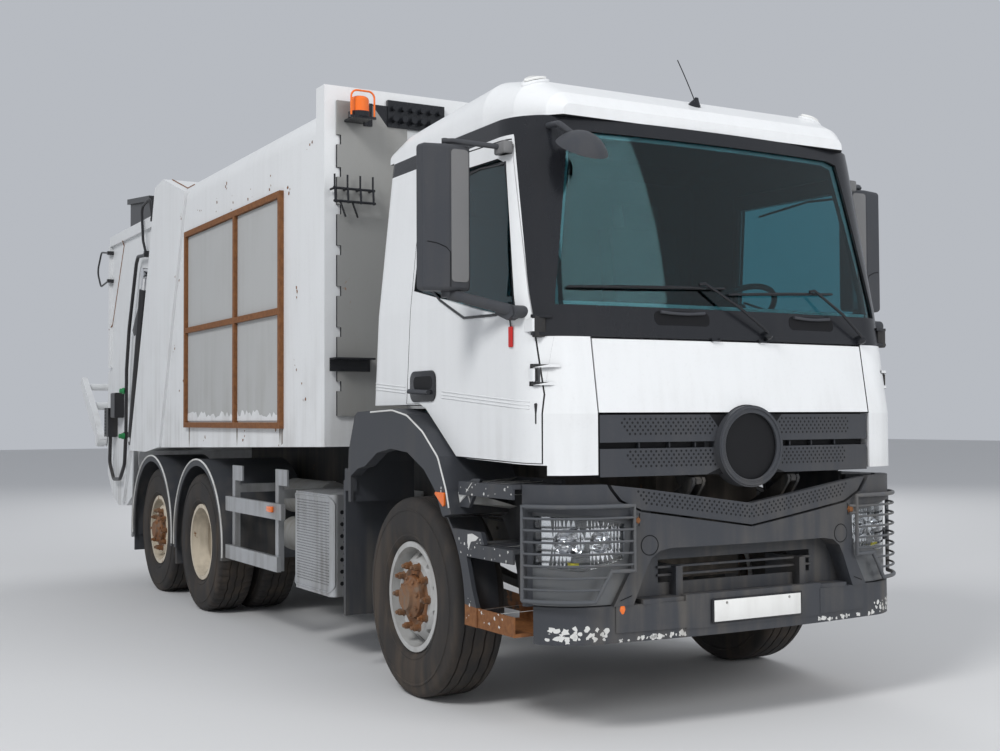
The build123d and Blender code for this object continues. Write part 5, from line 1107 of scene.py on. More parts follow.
def in_reflector(place):
    return any(math.hypot(abs(place.y) - y, place.z - LAMP_Z) < radius - REFLECTOR_EDGE
               for y, radius in REFLECTORS)


def lamp_depth(y, sweep, back):
    """A place behind the lens, which sweeps back towards the truck's side."""
    return fx(LAMP_FRONT - (y - LAMP_INNER_Y) * sweep) - back


lamp_object = NODES["headlamps"]
for group in islands(lamp_object.data):
    corners = {i for polygon in group for i in polygon.vertices}
    foot = min((lamp_object.matrix_world @ lamp_object.data.vertices[i].co).z for i in corners)
    for polygon in group:
        place = lamp_object.matrix_world @ polygon.center
        if foot > LENS_FOOT_Z:
            polygon.material_index = 1
        elif polygon.normal.x > BOWL_FACING and in_reflector(place):
            polygon.material_index = 2
for side, sign in SIDES.items():
    bulbs = [(Vector((lamp_depth(y, BULB_SWEEP, BULB_BACK), sign * y, LAMP_Z)),
              Vector((1, 0, 0))) for y, _ in REFLECTORS]
    repeat_piece(f"lamp_bulbs_{side}", bulbs, BULB, "chassis", CHROME, smooth=True)
    flutes = [[(lamp_depth(y, FLUTE_SWEEP, FLUTE_BACK), sign * y, z) for z in FLUTES_Z]
              for y in FLUTES_Y]
    tube_piece(f"lamp_flutes_{side}", flutes, FLUTE_RADIUS, "chassis", CHROME)
    mesh_piece(f"lamp_sliver_{side}", [(fx(x), sign * y, z) for x, y, z in SLIVER_OUTLINE],
               [(0, 1, 2, 3)], "chassis", SLIVER)
print("headlamps done")

# %% [markdown]
# ## Bumper trim
# Round covers hide the towing eyes, seams run where the mouldings meet, rusty bolts hold the
# guards, and a blank white plate sits in its holder. One amber lamp hangs by its lead.

# %% Bumper seams
SEAM_LIFT = 0.0004
SEAM_RADIUS = 0.0022
CAP_SPOT, CAP_RADIUS = (0.602, 0.884), 0.046
CAP_STEPS = 32
seams = []
for sign in (-1, 1):
    cap = oval((sign * CAP_SPOT[0], CAP_SPOT[1]), (CAP_RADIUS, CAP_RADIUS), CAP_STEPS, True)
    upper = [(sign * (0.655 + 0.0012 * i), 1.035 - 0.02 * i) for i in range(4)]
    lower = [(sign * (0.700 + 0.030 * i), 0.655 - 0.01 * i) for i in range(3)]
    seams += [line_on(bumper_skin, from_ahead, spots, SEAM_LIFT) for spots in (cap, upper, lower)]
tube_piece("bumper_seams", seams, SEAM_RADIUS, "chassis", SEAM_BLACK_AND_SHADE)
print("bumper seams", len(seams))

# %% Number plate, guard bolts and hanging lamp
PLATE_Y, PLATE_Z = (-0.245, 0.300), (0.502, 0.604)
PLATE_LOOK_Z = 0.56
HOLDER_RIM, HOLDER_Z = 0.012, (0.493, 0.613)
HOLDER_GAP, HOLDER_THICK, HOLDER_ROUNDING = 0.0015, 0.006, 0.003
PLATE_BACK, PLATE_FRONT, PLATE_ROUNDING = 0.005, 0.008, 0.0015
PLATE_SCREWS = ((-0.17, 0.590), (0.225, 0.590))
SCREW_SIZE, GUARD_BOLT_SIZE = 0.6, 1.5
GUARD_BOLTS = ((-0.672, 1.003), (0.672, 1.003))
LEAD_RADIUS = 0.003
LAMP_HANG = Vector((0.25, 0, -1))
LEAD = ((1.25, -0.735, 0.705), (1.30, -0.742, 0.690), (1.312, -0.748, 0.655),
        (1.318, -0.745, 0.617))
HANGING_LAMP = turned_shape([(-0.006, 0.012), (0.0, 0.019), (0.03, 0.019), (0.048, 0.008)], 14)
plate_x = seat_on(bumper_skin, from_ahead, sum(PLATE_Y) / 2, PLATE_LOOK_Z)[0].x + HOLDER_GAP
boxes_piece("plate_back", [((plate_x, PLATE_Y[0] - HOLDER_RIM, HOLDER_Z[0]),
                            (plate_x + HOLDER_THICK, PLATE_Y[1] + HOLDER_RIM, HOLDER_Z[1]))],
            "chassis", GLOSS_BLACK, HOLDER_ROUNDING)
boxes_piece("plate", [((plate_x + PLATE_BACK, PLATE_Y[0], PLATE_Z[0]),
                       (plate_x + PLATE_FRONT, PLATE_Y[1], PLATE_Z[1]))],
            "chassis", PLATE_WHITE, PLATE_ROUNDING)
repeat_piece("plate_screws", [(Vector((plate_x + PLATE_FRONT, y, z)), Vector((1, 0, 0)))
                              for y, z in PLATE_SCREWS],
             ROUND_BOLT, "chassis", GREY_STEEL, size=SCREW_SIZE, smooth=True)
repeat_piece("guard_bolts", seats_on(bumper_skin, from_ahead, GUARD_BOLTS), HEX_BOLT, "chassis",
             RUSTY_STEEL, size=GUARD_BOLT_SIZE)
lead = [(fx(x), y, z) for x, y, z in LEAD]
tube_piece("hanging_lead", [lead], LEAD_RADIUS, "chassis", GLOSS_BLACK, curved=True)
repeat_piece("hanging_lamp", [(Vector(lead[-1]), LAMP_HANG)], HANGING_LAMP,
             "chassis", AMBER, smooth=True)
print("bumper trim done, plate at", round(plate_x, 3))

# %% [markdown]
# ## Dark fittings on the cab
# The tilt arms and the hinge hardware are dark on the real cab. The gaps behind the slats, the
# badge's recessed floor, the gap at each door's front edge and the flap's top edge are painted
# black as shade. Those faces of the imported forms are picked out by their place.

# %% Dark fittings on the cab
SLAT_LOOK_Z = 1.385
SLAT_DEPTH = 0.036
BADGE_FLOOR = 0.166
EAR_HEIGHTS = ((1.630, 1.648), (1.712, 1.730))
EAR_FLAT_X, EAR_X = fx(1.26), fx(1.206)
CORNER_REAR_X = fx(1.2125)
TILT_ARM_X, TILT_ARM_Y, TILT_ARM_Z = fx(0.9), 0.42, 1.5
DOOR_GAP_X, DOOR_GAP_Y, DOOR_GAP_Z = fx(1.128), (0.96, 1.129), 1.3
FLAP_BARREL_AND_GAP_SHADE_Z = 1.8508
OUTWARD = 0.35


# Painted shade: the grille's faces deep behind the slats, where shade falls.
def behind_slats(place, normal):
    front = seat_on(grille_skin, from_ahead, place.y, SLAT_LOOK_Z)
    on_badge = math.hypot(place.y, place.z - BADGE_Z) < BADGE_RADIUS + 0.001
    return not on_badge and (front is None or place.x < front[0].x - SLAT_DEPTH)


# Painted shade: the badge's recessed floor behind its mesh.
def badge_floor(place, normal):
    return normal.x > SQUARE_ON and math.hypot(place.y, place.z - BADGE_Z) < BADGE_FLOOR


def tilt_arm(place, normal):
    return place.z < TILT_ARM_Z and abs(place.y) < TILT_ARM_Y and place.x > TILT_ARM_X


def faces_out(place, normal):
    return normal.y * math.copysign(1.0, place.y) > OUTWARD


def corner_hardware_and_gap_shade(place, normal):
    """The corner panels' rear edges, painted black as the door gap's shade, and the ears of the
    hinges that come through them.
    """
    level = any(low < place.z < high for low, high in EAR_HEIGHTS)
    flat = abs(normal.z) > SQUARE_ON and place.x < EAR_FLAT_X
    ear = level and abs(place.y) < CAB_INNER_Y and (flat or place.x < EAR_X)
    return ear or (place.x < CORNER_REAR_X and not faces_out(place, normal))


def door_gap_shade(place, normal):
    """Faces of the gap between a door's front edge and the corner panel, painted black as its
    shade.
    """
    inner, outer = DOOR_GAP_Y
    return (place.x > DOOR_GAP_X and inner < abs(place.y) < outer and place.z > DOOR_GAP_Z
            and not faces_out(place, normal))


# The recess behind the slats and the badge's floor are painted black as shade.
paint_where("grille", SEAM_BLACK_AND_SHADE, behind_slats)
paint_where("cab_shell", FRAME_BLACK_AND_GAP_SHADE, tilt_arm)
paint_where("grille", SEAM_BLACK_AND_SHADE, badge_floor)
# The corner panels' rear edges and the door gaps are painted black as shade.
paint_where("cab_corner_panels", FRAME_BLACK_AND_GAP_SHADE, corner_hardware_and_gap_shade)
for node in ("cab_shell", "door_right", "door_left"):
    paint_where(node, FRAME_BLACK_AND_GAP_SHADE, door_gap_shade)
# The flap's hinge barrel is black, and its top edge is painted black as the gap's shade.
paint_where("front_flap", GLOSS_BLACK, lambda place, normal: place.z > FLAP_BARREL_AND_GAP_SHADE_Z)
paint_where("windscreen", GLOSS_BLACK, lambda place, normal: abs(normal.x) < OUTWARD)
print("dark fittings painted")

# %% [markdown]
# ## Wipers
# Two wipers lie along the windscreen's foot: a bent arm from a round pivot carries a long blade
# with a bridge above its rubber. Every point is a spot on the glass, lifted off it.

# %% Wipers
WIPERS = (((0.181, 1.888), (-0.193, 2.131), (-0.949, 2.092), (-0.053, 2.117)),
          ((0.860, 1.885), (0.534, 2.127), (-0.035, 2.088), (0.689, 2.123)))
ARM_LIFTS = (0.030, 0.036, 0.050, 0.042, 0.034)
ARM_RADIUS, RUBBER_RADIUS, BRIDGE_RADIUS = 0.0075, 0.0055, 0.006
BLADE_STEPS = 12
RUBBER_LIFT = 0.007
BRIDGE_LIFT, BRIDGE_RISE = 0.016, 0.012
PIVOT = turned_shape([(0, 0.026), (0.018, 0.024), (0.036, 0.016), (0.042, 0.010)], 18)
screen_skin = surface_of("windscreen", "cab_black_surround", "front_flap", "cab_corner_panels")


def on_screen(y, z, lift):
    place, normal = seat_on(screen_skin, from_ahead, y, z)
    return tuple(place + normal * lift)


arms, rubbers, bridges = [], [], []
for pivot, elbow, start, end in WIPERS:
    arm = (pivot, (pivot[0] - 0.04, pivot[1] + 0.03), spot_between(pivot, elbow, 0.5), elbow,
           (elbow[0] - 0.03, elbow[1] - 0.004))
    arms.append([on_screen(*spot, lift) for spot, lift in zip(arm, ARM_LIFTS)])
    blade = [(share, spot_between(start, end, share)) for share in shares(BLADE_STEPS)]
    rubbers.append([on_screen(*spot, RUBBER_LIFT) for _, spot in blade])
    bridges.append([on_screen(*spot, BRIDGE_LIFT + BRIDGE_RISE * math.sin(math.pi * share))
                    for share, spot in blade])
tube_piece("wiper_arms", arms, ARM_RADIUS, "cab", GLOSS_BLACK)
tube_piece("wiper_rubbers", rubbers, RUBBER_RADIUS, "cab", GLOSS_BLACK, sides=2)
tube_piece("wiper_bridges", bridges, BRIDGE_RADIUS, "cab", GLOSS_BLACK, sides=3)
repeat_piece("wiper_pivots", seats_on(screen_skin, from_ahead, [row[0] for row in WIPERS]), PIVOT,
             "cab", GLOSS_BLACK, smooth=True)
print("wipers", len(WIPERS))

# %% [markdown]
# ## Grips on the panel under the windscreen
# Two recesses, each with a rounded lip along its top, are there to hold on to and to pull the
# flap open. Each recess is a thin black plate on the panel: painted shade.

# %% Grips on the panel
GRIPS = ((-0.495, -0.171), (0.349, 0.668))
GRIP_Z = (1.925, 1.995)
LIP_Z, LIP_SAG = 1.990, 0.010
LIP_STEPS = 10
for index, (y0, y1) in enumerate(GRIPS):
    # The recess is a thin black plate of painted shade.
    plate_on(f"grip_recess_{index}", screen_skin, from_ahead,
             rounded_plate((y0, GRIP_Z[0]), (y1, GRIP_Z[1]), 0.03), "cab", SEAM_BLACK_AND_SHADE, 0.0015)
    lip = [on_screen(between(y0, y1, share), LIP_Z - LIP_SAG * math.sin(math.pi * share), 0.010)
           for share in shares(LIP_STEPS)[1:-1]]
    tube_piece(f"grip_lip_{index}", [lip], 0.008, "cab", CHARCOAL)
print("grips", len(GRIPS))

# %% [markdown]
# ## Roof: marker lamps, aerial and joint line
# Two clear oval lamps stand on the roof's front corners, and a whip aerial on a rubber foot.

# %% Roof
MARKER_X, MARKER_Y = fx(0.845), 0.905
MARKER_FOOT, MARKER_LENS_SIZE = (0.040, 0.080), (0.028, 0.064)
MARKER_STEPS = 24
MARKER_ROUNDING = 0.006
AERIAL_FOOT = turned_shape([(-0.002, 0.034), (0.010, 0.030), (0.028, 0.017), (0.045, 0.008)], 18)
WHIP = ((0, 0, 0.03), (-0.02, -0.03, 0.13), (-0.05, -0.07, 0.245))
roof_skin = surface_of("cab_roof", "cab_shell")
for side, sign in SIDES.items():
    for name, size, material, thick, lift in (
            ("marker_foot", MARKER_FOOT, CAB_WHITE, 0.016, 0.0),
            ("marker_lens", MARKER_LENS_SIZE, MARKER_LENS, 0.014, 0.014)):
        outline = oval((MARKER_X, sign * MARKER_Y), size, MARKER_STEPS)
        round_edges(plate_on(f"{name}_{side}", roof_skin, from_above, outline, "cab", material,
                             thick, lift), MARKER_ROUNDING)
aerial = seat_on(roof_skin, from_above, fx(0.93), 0.02)
repeat_piece("aerial_foot", [aerial], AERIAL_FOOT, "cab", GLOSS_BLACK, smooth=True)
tube_piece("aerial_whip", [[tuple(aerial[0] + Vector(step)) for step in WHIP]], 0.0028, "cab",
           GLOSS_BLACK, curved=True)
joint = [(fx(0.60), -0.98 + 0.04 * i) for i in range(50)]
tube_piece("roof_joint", [line_on(roof_skin, from_above, joint, 0.0003)], SEAM_RADIUS, "cab",
           SEAM_GREY)
print("roof done")

# %% [markdown]
# ## Doors: seals, ribs, handles and hinges
# Three pressed ribs run along the cab's side below the belt, broken by the door's edge. A black
# handle sits in a rounded tray, a rubber seal frames the window, hinge blocks show in the gap,
# and a red tag hangs at the right door's front edge.

# %% Doors
CAB_RIB, DOOR_RIB = ((-0.575, 1.686), (-0.135, 1.654)), ((0.30, 1.622), (1.150, 1.556))
RIB_ROWS = 3
RIB_STEP = 0.0165
RIB_LIFT = 0.0008
TRAY = ((fx(-0.070), 1.570), (fx(0.235), 1.735))
HOLLOW = ((fx(-0.020), 1.635), (fx(0.200), 1.705))
GRIP_ENDS = ((fx(-0.050), 1.628), (fx(0.185), 1.618))
WINDOW = ((-0.062, 2.215), (-0.020, 2.690), (0.62, 2.735), (0.90, 2.715), (1.010, 1.975),
          (0.55, 1.985), (0.15, 2.150))
for side, sign in SIDES.items():
    door = f"door_{side}"
    look = from_side(sign)
    door_skin = surface_of(door)
    side_skin = surface_of("cab_shell", door)
    window_skin = surface_of(door, f"door_glass_{side}")
    for index, (ends, body) in enumerate(((CAB_RIB, "cab"), (DOOR_RIB, door))):
        line = [spot_between(*ends, share) for share in shares(12)]
        routes = [line_on(side_skin, look, [(fx(x), z - row * RIB_STEP) for x, z in line],
                          RIB_LIFT) for row in range(RIB_ROWS)]
        tube_piece(f"ribs_{index}_{side}", routes, 0.0035, body, CAB_WHITE)
    tray = plate_on(f"handle_tray_{side}", door_skin, look, rounded_plate(*TRAY, 0.05), door,
                    GLOSS_BLACK, 0.008)
    round_edges(tray, 0.004)
    # The hollow behind the grip is a black plate of painted shade.
    plate_on(f"handle_hollow_{side}", door_skin, look, rounded_plate(*HOLLOW, 0.03), door,
             SEAM_BLACK_AND_SHADE, 0.003, lift=0.006)
    grip = [spot_between(*GRIP_ENDS, share) for share in shares(8)]
    tube_piece(f"handle_grip_{side}", [line_on(door_skin, look, grip, 0.022)], 0.013, door,
               CHARCOAL, curved=True)
    corners = [(fx(x), z) for x, z in WINDOW]
    seal = [spot_between(first, second, share)
            for first, second in zip(corners, corners[1:] + corners[:1])
            for share in (0.0, 0.33, 0.67)]
    tube_piece(f"window_seal_{side}", [line_on(window_skin, look, seal + seal[:1], 0.002)],
               0.007, door, GLOSS_BLACK)

# %% Hinge blocks and red tag
HINGES_Z = (1.50, 1.905)
HINGE_X, HINGE_Y, HINGE_HALF = (fx(1.150), fx(1.185)), (1.060, 1.118), 0.05
for side, sign in SIDES.items():
    boxes_piece(f"hinge_blocks_{side}",
                [((HINGE_X[0], sign * HINGE_Y[0], z - HINGE_HALF),
                  (HINGE_X[1], sign * HINGE_Y[1], z + HINGE_HALF)) for z in HINGES_Z],
                "cab", FRAME_BLACK_AND_GAP_SHADE, 0.006)
tag = seat_on(surface_of("door_right"), from_side(SIDES["right"]), fx(1.02), 1.90)[0]
tube_piece("tag_lead", [[tuple(tag + Vector((-0.012, -0.004, 0.05))),
                         tuple(tag + Vector((0, -0.006, 0.01)))]], 0.003, "door_right",
           GLOSS_BLACK, curved=True)
boxes_piece("red_tag", [(tag + Vector((-0.018, -0.010, -0.085)),
                         tag + Vector((0.018, -0.003, 0.012)))], "door_right", RED_TAG, 0.003)
print("doors done")

# %% [markdown]
# ## Mirrors
# The housing is a dark shell with a grained grey strip on its inner edge, a lid below, and a
# bracket of grey plastic on the window frame.

# %% Mirrors
STRIP = ((1.262, 2.135), (1.358, 2.775))
LID = ((1.362, 2.275), (1.385, 2.300), (1.43, 2.318), (1.475, 2.325))
LID_EDGE = ((1.362, 2.11), (1.362, 2.18), (1.362, 2.25), (1.362, 2.275))
BRACKET = ((fx(0.855), 1.095, 2.752), (fx(0.955), 1.150, 2.812))
for side, sign in SIDES.items():
    mirror_skin = surface_of(f"mirror_{side}")
    plate_on(f"mirror_strip_{side}", mirror_skin, from_ahead,
             [(sign * y, z) for y, z in rounded_plate(*STRIP, 0.02)], f"door_{side}",
             MIRROR_GREY, 0.003)
    tube_piece(f"mirror_seams_{side}",
               [line_on(mirror_skin, from_ahead, [(sign * y, z) for y, z in spots], 0.0005)
                for spots in (LID_EDGE, LID)], SEAM_RADIUS, f"door_{side}", SEAM_BLACK_AND_SHADE)
    boxes_piece(f"mirror_bracket_{side}", [[(x, sign * y, z) for x, y, z in BRACKET]],
                f"door_{side}", MIRROR_GREY, 0.010)
print("mirrors done")

# %% [markdown]
# ## Bulkhead fittings and the sheets in the side frames
# Behind the cab a weathered sheet carries a black rack and a black valve plate. The angle frames
# on the sides hold grey sheets, torn along their foot.

# %% Bulkhead and side sheets
LAMP_BAR_Y, LAMP_BAR_Z = -0.9, 3.28
FITTING_X = fx(-1.046)
SHEET_EDGE_Y = -1.14
EDGE_ON = 0.3
SHEETS_X = ((-4.005, -2.815), (-2.765, -1.865))
SHEETS_Z = ((1.470, 2.178), (2.222, 2.945))
SHEET_BACK, SHEET_FRONT = 0.002, 0.006
TORN_SEED = 5
TORN_STEPS = 26
TORN_LIFT = 0.0015
TORN_FOOT_Z, TORN_Z = 1.472, 1.515
TORN_SPREAD = (-0.022, 0.034)


def black_fitting(place, normal):
    """The beacon's and the lamp's carrier at the top, and what stands ahead of the sheet."""
    return (place.z > LAMP_BAR_Z and place.y > LAMP_BAR_Y) or place.x > FITTING_X


def sheet_edge(place, normal):
    return abs(normal.x) < EDGE_ON and place.y < SHEET_EDGE_Y and place.z < LAMP_BAR_Z


paint_where("bulkhead_fittings", GLOSS_BLACK, black_fitting)
paint_where("bulkhead_fittings", SEAM_BLACK_AND_SHADE, sheet_edge)
body_skin = surface_of("load_body")
for side, sign in SIDES.items():
    sheets = []
    for x0, x1 in SHEETS_X:
        for z0, z1 in SHEETS_Z:
            y = seat_on(body_skin, from_side(sign), fx((x0 + x1) / 2), (z0 + z1) / 2)[0].y
            sheets.append(((fx(x0), y - sign * SHEET_BACK, z0),
                           (fx(x1), y + sign * SHEET_FRONT, z1)))
    boxes_piece(f"frame_sheets_{side}", sheets, "chassis", SHEET_GREY)
    random.seed(TORN_SEED)
    torn_y = sheets[0][1][1] + sign * TORN_LIFT
    points, faces = [], []
    for x0, x1 in SHEETS_X:
        edge = [(fx(between(x0, x1, share)), torn_y, TORN_Z + random.uniform(*TORN_SPREAD))
                for share in shares(TORN_STEPS)]
        low, high = len(points), len(points) + len(edge)
        points += [(x, y, TORN_FOOT_Z) for x, y, _ in edge] + edge
        faces += [(low + i, low + i + 1, high + i + 1, high + i) for i in range(TORN_STEPS)]
    mesh_piece(f"torn_edges_{side}", points, faces, "chassis", BODY_WHITE)
print("side sheets", len(sheets) * 2)

# %% [markdown]
# ## Rust on the body
# Rust starts where bolts and edges have lost their paint: small spots round the frames, grey
# streaks that run down below them, and brown lines along the roof's edges. The bulkhead's rack
# gets its thin pins here too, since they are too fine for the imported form.

# %% Rust on the body
RUST_SPOTS = ((-4.28, 2.62), (-4.22, 1.74), (-4.12, 3.13), (-3.72, 3.08), (-3.30, 3.10),
              (-2.90, 3.08), (-2.52, 3.05), (-2.10, 3.10), (-1.72, 2.95), (-1.60, 2.30),
              (-1.62, 1.85), (-3.60, 1.36), (-2.62, 1.37), (-1.95, 1.36), (-1.38, 3.20),
              (-1.45, 1.66), (-3.05, 3.24), (-4.40, 2.10))
SPOT_REACH = 0.06
SPOT_SIZES = (0.003, 0.013)
SPOTS_EACH = 3
SPOT_SEED = 11
STREAKS_X = (-3.985, -2.79, -1.90, -1.86)
STREAK_TOP_Z, STREAK_LOW_Z, STREAK_STEP = 1.442, 1.262, 0.03
spot_fields = [(fx(x - SPOT_REACH), z - SPOT_REACH, fx(x + SPOT_REACH), z + SPOT_REACH)
               for x, z in RUST_SPOTS]
for side, sign in SIDES.items():
    flecks(f"rust_spots_{side}", body_skin, from_side(sign), spot_fields, SPOTS_EACH, SPOT_SIZES,
           "chassis", RUSTY_STEEL, SPOT_SEED)
for side, sign in SIDES.items():
    for index, x in enumerate(STREAKS_X):
        low = STREAK_LOW_Z + STREAK_STEP * (index % 3)
        outline = [(fx(x - 0.018), STREAK_TOP_Z), (fx(x + 0.018), STREAK_TOP_Z),
                   (fx(x + 0.012), low + 0.06), (fx(x + 0.002), low), (fx(x - 0.010), low + 0.05)]
        plate_on(f"streak_{index}_{side}", body_skin, from_side(sign), outline, "chassis",
                 STREAK_GREY, 0.0008)
print("rust spots", len(RUST_SPOTS) * SPOTS_EACH, "streaks", len(STREAKS_X) * 2)

# %% Pins of the rack
PIN_Y = (-1.214, -1.130, -1.046, -0.962)
HOOK_Y = (-1.18, -1.10)
rack = [[(fx(-0.990), y, 2.885), (fx(-0.990), y, 2.965)] for y in PIN_Y]
rack += [[(fx(-0.982), y, 2.795), (fx(-1.02), y + 0.05, 2.715)] for y in HOOK_Y]
tube_piece("rack_pins", rack, 0.006, "chassis", GLOSS_BLACK)
print("rack pins", len(rack))

# %% Rusty roof edges
ROOF_EDGE = ((-4.70, 1.17), (-4.05, 1.17))
edges = [[(fx(x), sign * y) for x, y in [spot_between(*ROOF_EDGE, share) for share in shares(14)]]
         for sign in SIDES.values()]
tube_piece("rusty_edges", [line_on(body_skin, from_above, edge, 0.001) for edge in edges], 0.006,
           "chassis", RUSTY_STEEL)
print("rusty roof edges", len(edges))

# %% [markdown]
# ## Tail fittings
# Two green couplings show on each side of the tailgate, a rusty line marks the edge of its upper
# panel, and the beacon stands on a black foot.

# %% Tail fittings
COUPLING = turned_shape([(-0.004, 0.030), (0.020, 0.030), (0.022, 0.022), (0.046, 0.022),
                         (0.050, 0.012)], 16)
COUPLING_SPOTS = ((fx(-6.165), 1.756), (fx(-6.165), 1.33))
RUST_LINE = ((fx(-6.434), 3.224), (fx(-6.957), 2.383))
BEACON_FOOT = 0.035
tail_skin = surface_of("tail_fittings", "tailgate")
gate_skin = surface_of("tailgate")
for side, sign in SIDES.items():
    repeat_piece(f"green_couplings_{side}", seats_on(tail_skin, from_side(sign), COUPLING_SPOTS),
                 COUPLING, "tailgate", COUPLING_GREEN, smooth=True)
    rust_line = [spot_between(*RUST_LINE, share) for share in shares(16)]
    tube_piece(f"rust_line_{side}", [line_on(gate_skin, from_side(sign), rust_line, 0.0008)],
               0.005, "tailgate", RUSTY_STEEL)
beacon_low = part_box("beacon")[0].z
paint_where("beacon", GLOSS_BLACK, lambda place, normal: place.z < beacon_low + BEACON_FOOT)
print("tail fittings done")

# %% [markdown]
# ## Exhaust cover
# The silencer sits behind a pressed aluminium cover: its side is finely perforated inside a
# rounded rim, and its front face has larger openings. Each opening is a black disc of painted
# shade.

# %% Exhaust cover
PERFORATED_X, PERFORATED_ROWS = (-1.665, -1.115), 30
FINE_PITCH, FINE_HOLE = 0.0172, 0.0045
COARSE_Y, COARSE_ROWS = (-1.13, -0.815), 13
COARSE_PITCH, COARSE_STEP, COARSE_HOLE = 0.042, 0.036, 0.0135
exhaust_skin = surface_of("exhaust_box")
exhaust_side = from_side(SIDES["right"])
low_x, high_x = PERFORATED_X
heights = [0.47 + row * FINE_PITCH for row in range(PERFORATED_ROWS)]
spots = [(fx(x), z) for x, z in staggered(low_x, high_x + FINE_PITCH / 2, heights, FINE_PITCH)
         if low_x < x < high_x]
side_seats = [seat for seat in seats_on(exhaust_skin, exhaust_side, spots)
              if abs(seat[1].y) > SQUARE_ON]
# The perforations and openings are black discs of painted shade.
repeat_piece("exhaust_perforations", side_seats, PERFORATION, "chassis", SEAM_BLACK_AND_SHADE, FINE_HOLE)
heights = [0.48 + row * COARSE_STEP for row in range(COARSE_ROWS)]
spots = staggered(*COARSE_Y, heights, COARSE_PITCH)
front_seats = [seat for seat in seats_on(exhaust_skin, from_ahead, spots)
               if abs(seat[1].x) > 0.7]
repeat_piece("exhaust_front_openings", front_seats, PERFORATION, "chassis", SEAM_BLACK_AND_SHADE,
             COARSE_HOLE)
outline = rounded_plate((fx(-1.70), 0.425), (fx(-1.085), 1.005), 0.05)
rim = line_on(exhaust_skin, exhaust_side, outline + outline[:1], 0.001)
tube_piece("exhaust_rim", [rim], 0.007, "chassis", ALUMINIUM)
print("exhaust openings", len(side_seats), len(front_seats))

# %% [markdown]
# ## Piping on the mudguards and the fenders
# A white rubber piping follows the outer edge of every mudguard, and a reflector sits on the
# front fender's lip.

# %% Piping
PIPING_RADIUS = 0.641
PIPING_TURN = (math.radians(-6), math.radians(186))
PIPING_STEPS = 60
GUARD_EDGE_Y = 1.2
FENDER_RIM = ((-0.725, 1.310), (-0.640, 1.494), (-0.600, 1.512), (-0.130, 1.527),
              (0.058, 1.498), (0.247, 1.412), (0.420, 1.284), (0.508, 1.128), (0.548, 1.012))
FENDER_START = 12
guard_skin = surface_of("rear_mudguards")
fender_skin = surface_of("front_fenders")
for side, sign in SIDES.items():
    look = from_side(sign)
    routes = []
    for axle in (DRIVE_AXLE, TAG_AXLE):
        turns = [between(*PIPING_TURN, share) for share in shares(PIPING_STEPS)]
        spots = [(axle.x + PIPING_RADIUS * math.cos(turn), axle.z + PIPING_RADIUS * math.sin(turn))
                 for turn in turns]
        routes.append([place for place in line_on(guard_skin, look, spots, 0.001)
                       if abs(place[1]) > GUARD_EDGE_Y])
    tube_piece(f"mudguard_piping_{side}", routes, 0.007, "chassis", PIPING_WHITE)
    rim = [(fx(x), z) for x, z in FENDER_RIM]
    spots = [spot_between(first, second, share) for first, second in zip(rim, rim[1:])
             for share in shares(5)[:-1]]
    tube_piece(f"fender_piping_{side}",
               [line_on(fender_skin, look, spots[FENDER_START:], 0.001)], 0.005, "chassis",
               PIPING_WHITE, curved=True)
    plate_on(f"fender_reflector_{side}", fender_skin, look,
             rounded_plate((fx(0.400), 1.040), (fx(0.500), 1.110), 0.012), "chassis", AMBER,
             0.010)
print("piping done")

# %% [markdown]
# ## Chassis trim
# An orange marker lamp on the side guard, air lines clipped along the rail, and rows of bolts
# where the brackets meet the rails.

# %% Chassis trim
BOLT_COLUMNS = [-4.9 + 0.14 * i for i in range(40)]
BOLTLESS_X = -3.7
BOLT_ROWS_Z = (0.83, 0.975)
RAIL_FACE_Y, RAIL_SLACK = 0.417, 0.004
LINES_Z = (0.885, 0.905, 0.925)
LINES_Y = 0.426
MARKER_SIZE = (0.05, 0.020, 0.02)
rail_skin = surface_of("chassis_frame")
marker_skin = surface_of("guards", "chassis_frame")
for side, sign in SIDES.items():
    spots = [(fx(x), z) for x in BOLT_COLUMNS if abs(x - BOLTLESS_X) > 0.1 for z in BOLT_ROWS_Z]
    seats = [seat for seat in seats_on(rail_skin, from_side(sign), spots)
             if abs(abs(seat[0].y) - RAIL_FACE_Y) < RAIL_SLACK]
    repeat_piece(f"rail_bolts_{side}", seats, HEX_BOLT, "chassis", FRAME_BLACK_AND_GAP_SHADE)
    lines = [[(fx(-4.6 + 0.2 * i), sign * (LINES_Y + 0.003 * (i % 2)),
               z + 0.006 * math.sin(i * 1.7)) for i in range(26)] for z in LINES_Z]
    tube_piece(f"air_lines_{side}", lines, 0.006, "chassis", GLOSS_BLACK, curved=True)
    place = seat_on(marker_skin, from_side(sign), fx(-2.053), 0.879)[0]
    half_x, thick, half_z = MARKER_SIZE
    boxes_piece(f"side_marker_{side}",
                [((place.x - half_x, place.y - sign * 0.001, place.z - half_z),
                  (place.x + half_x, place.y + sign * thick, place.z + half_z))],
                "chassis", AMBER, 0.006)
print("chassis trim done")

# %% [markdown]
# ## Flaked paint and rust low on the cab's steps
# The steps and the steel beam have lost their grey paint in patches down to the white primer, and
# the lowest step plate is rusty. A field of flecks is given by its two opposite corners.

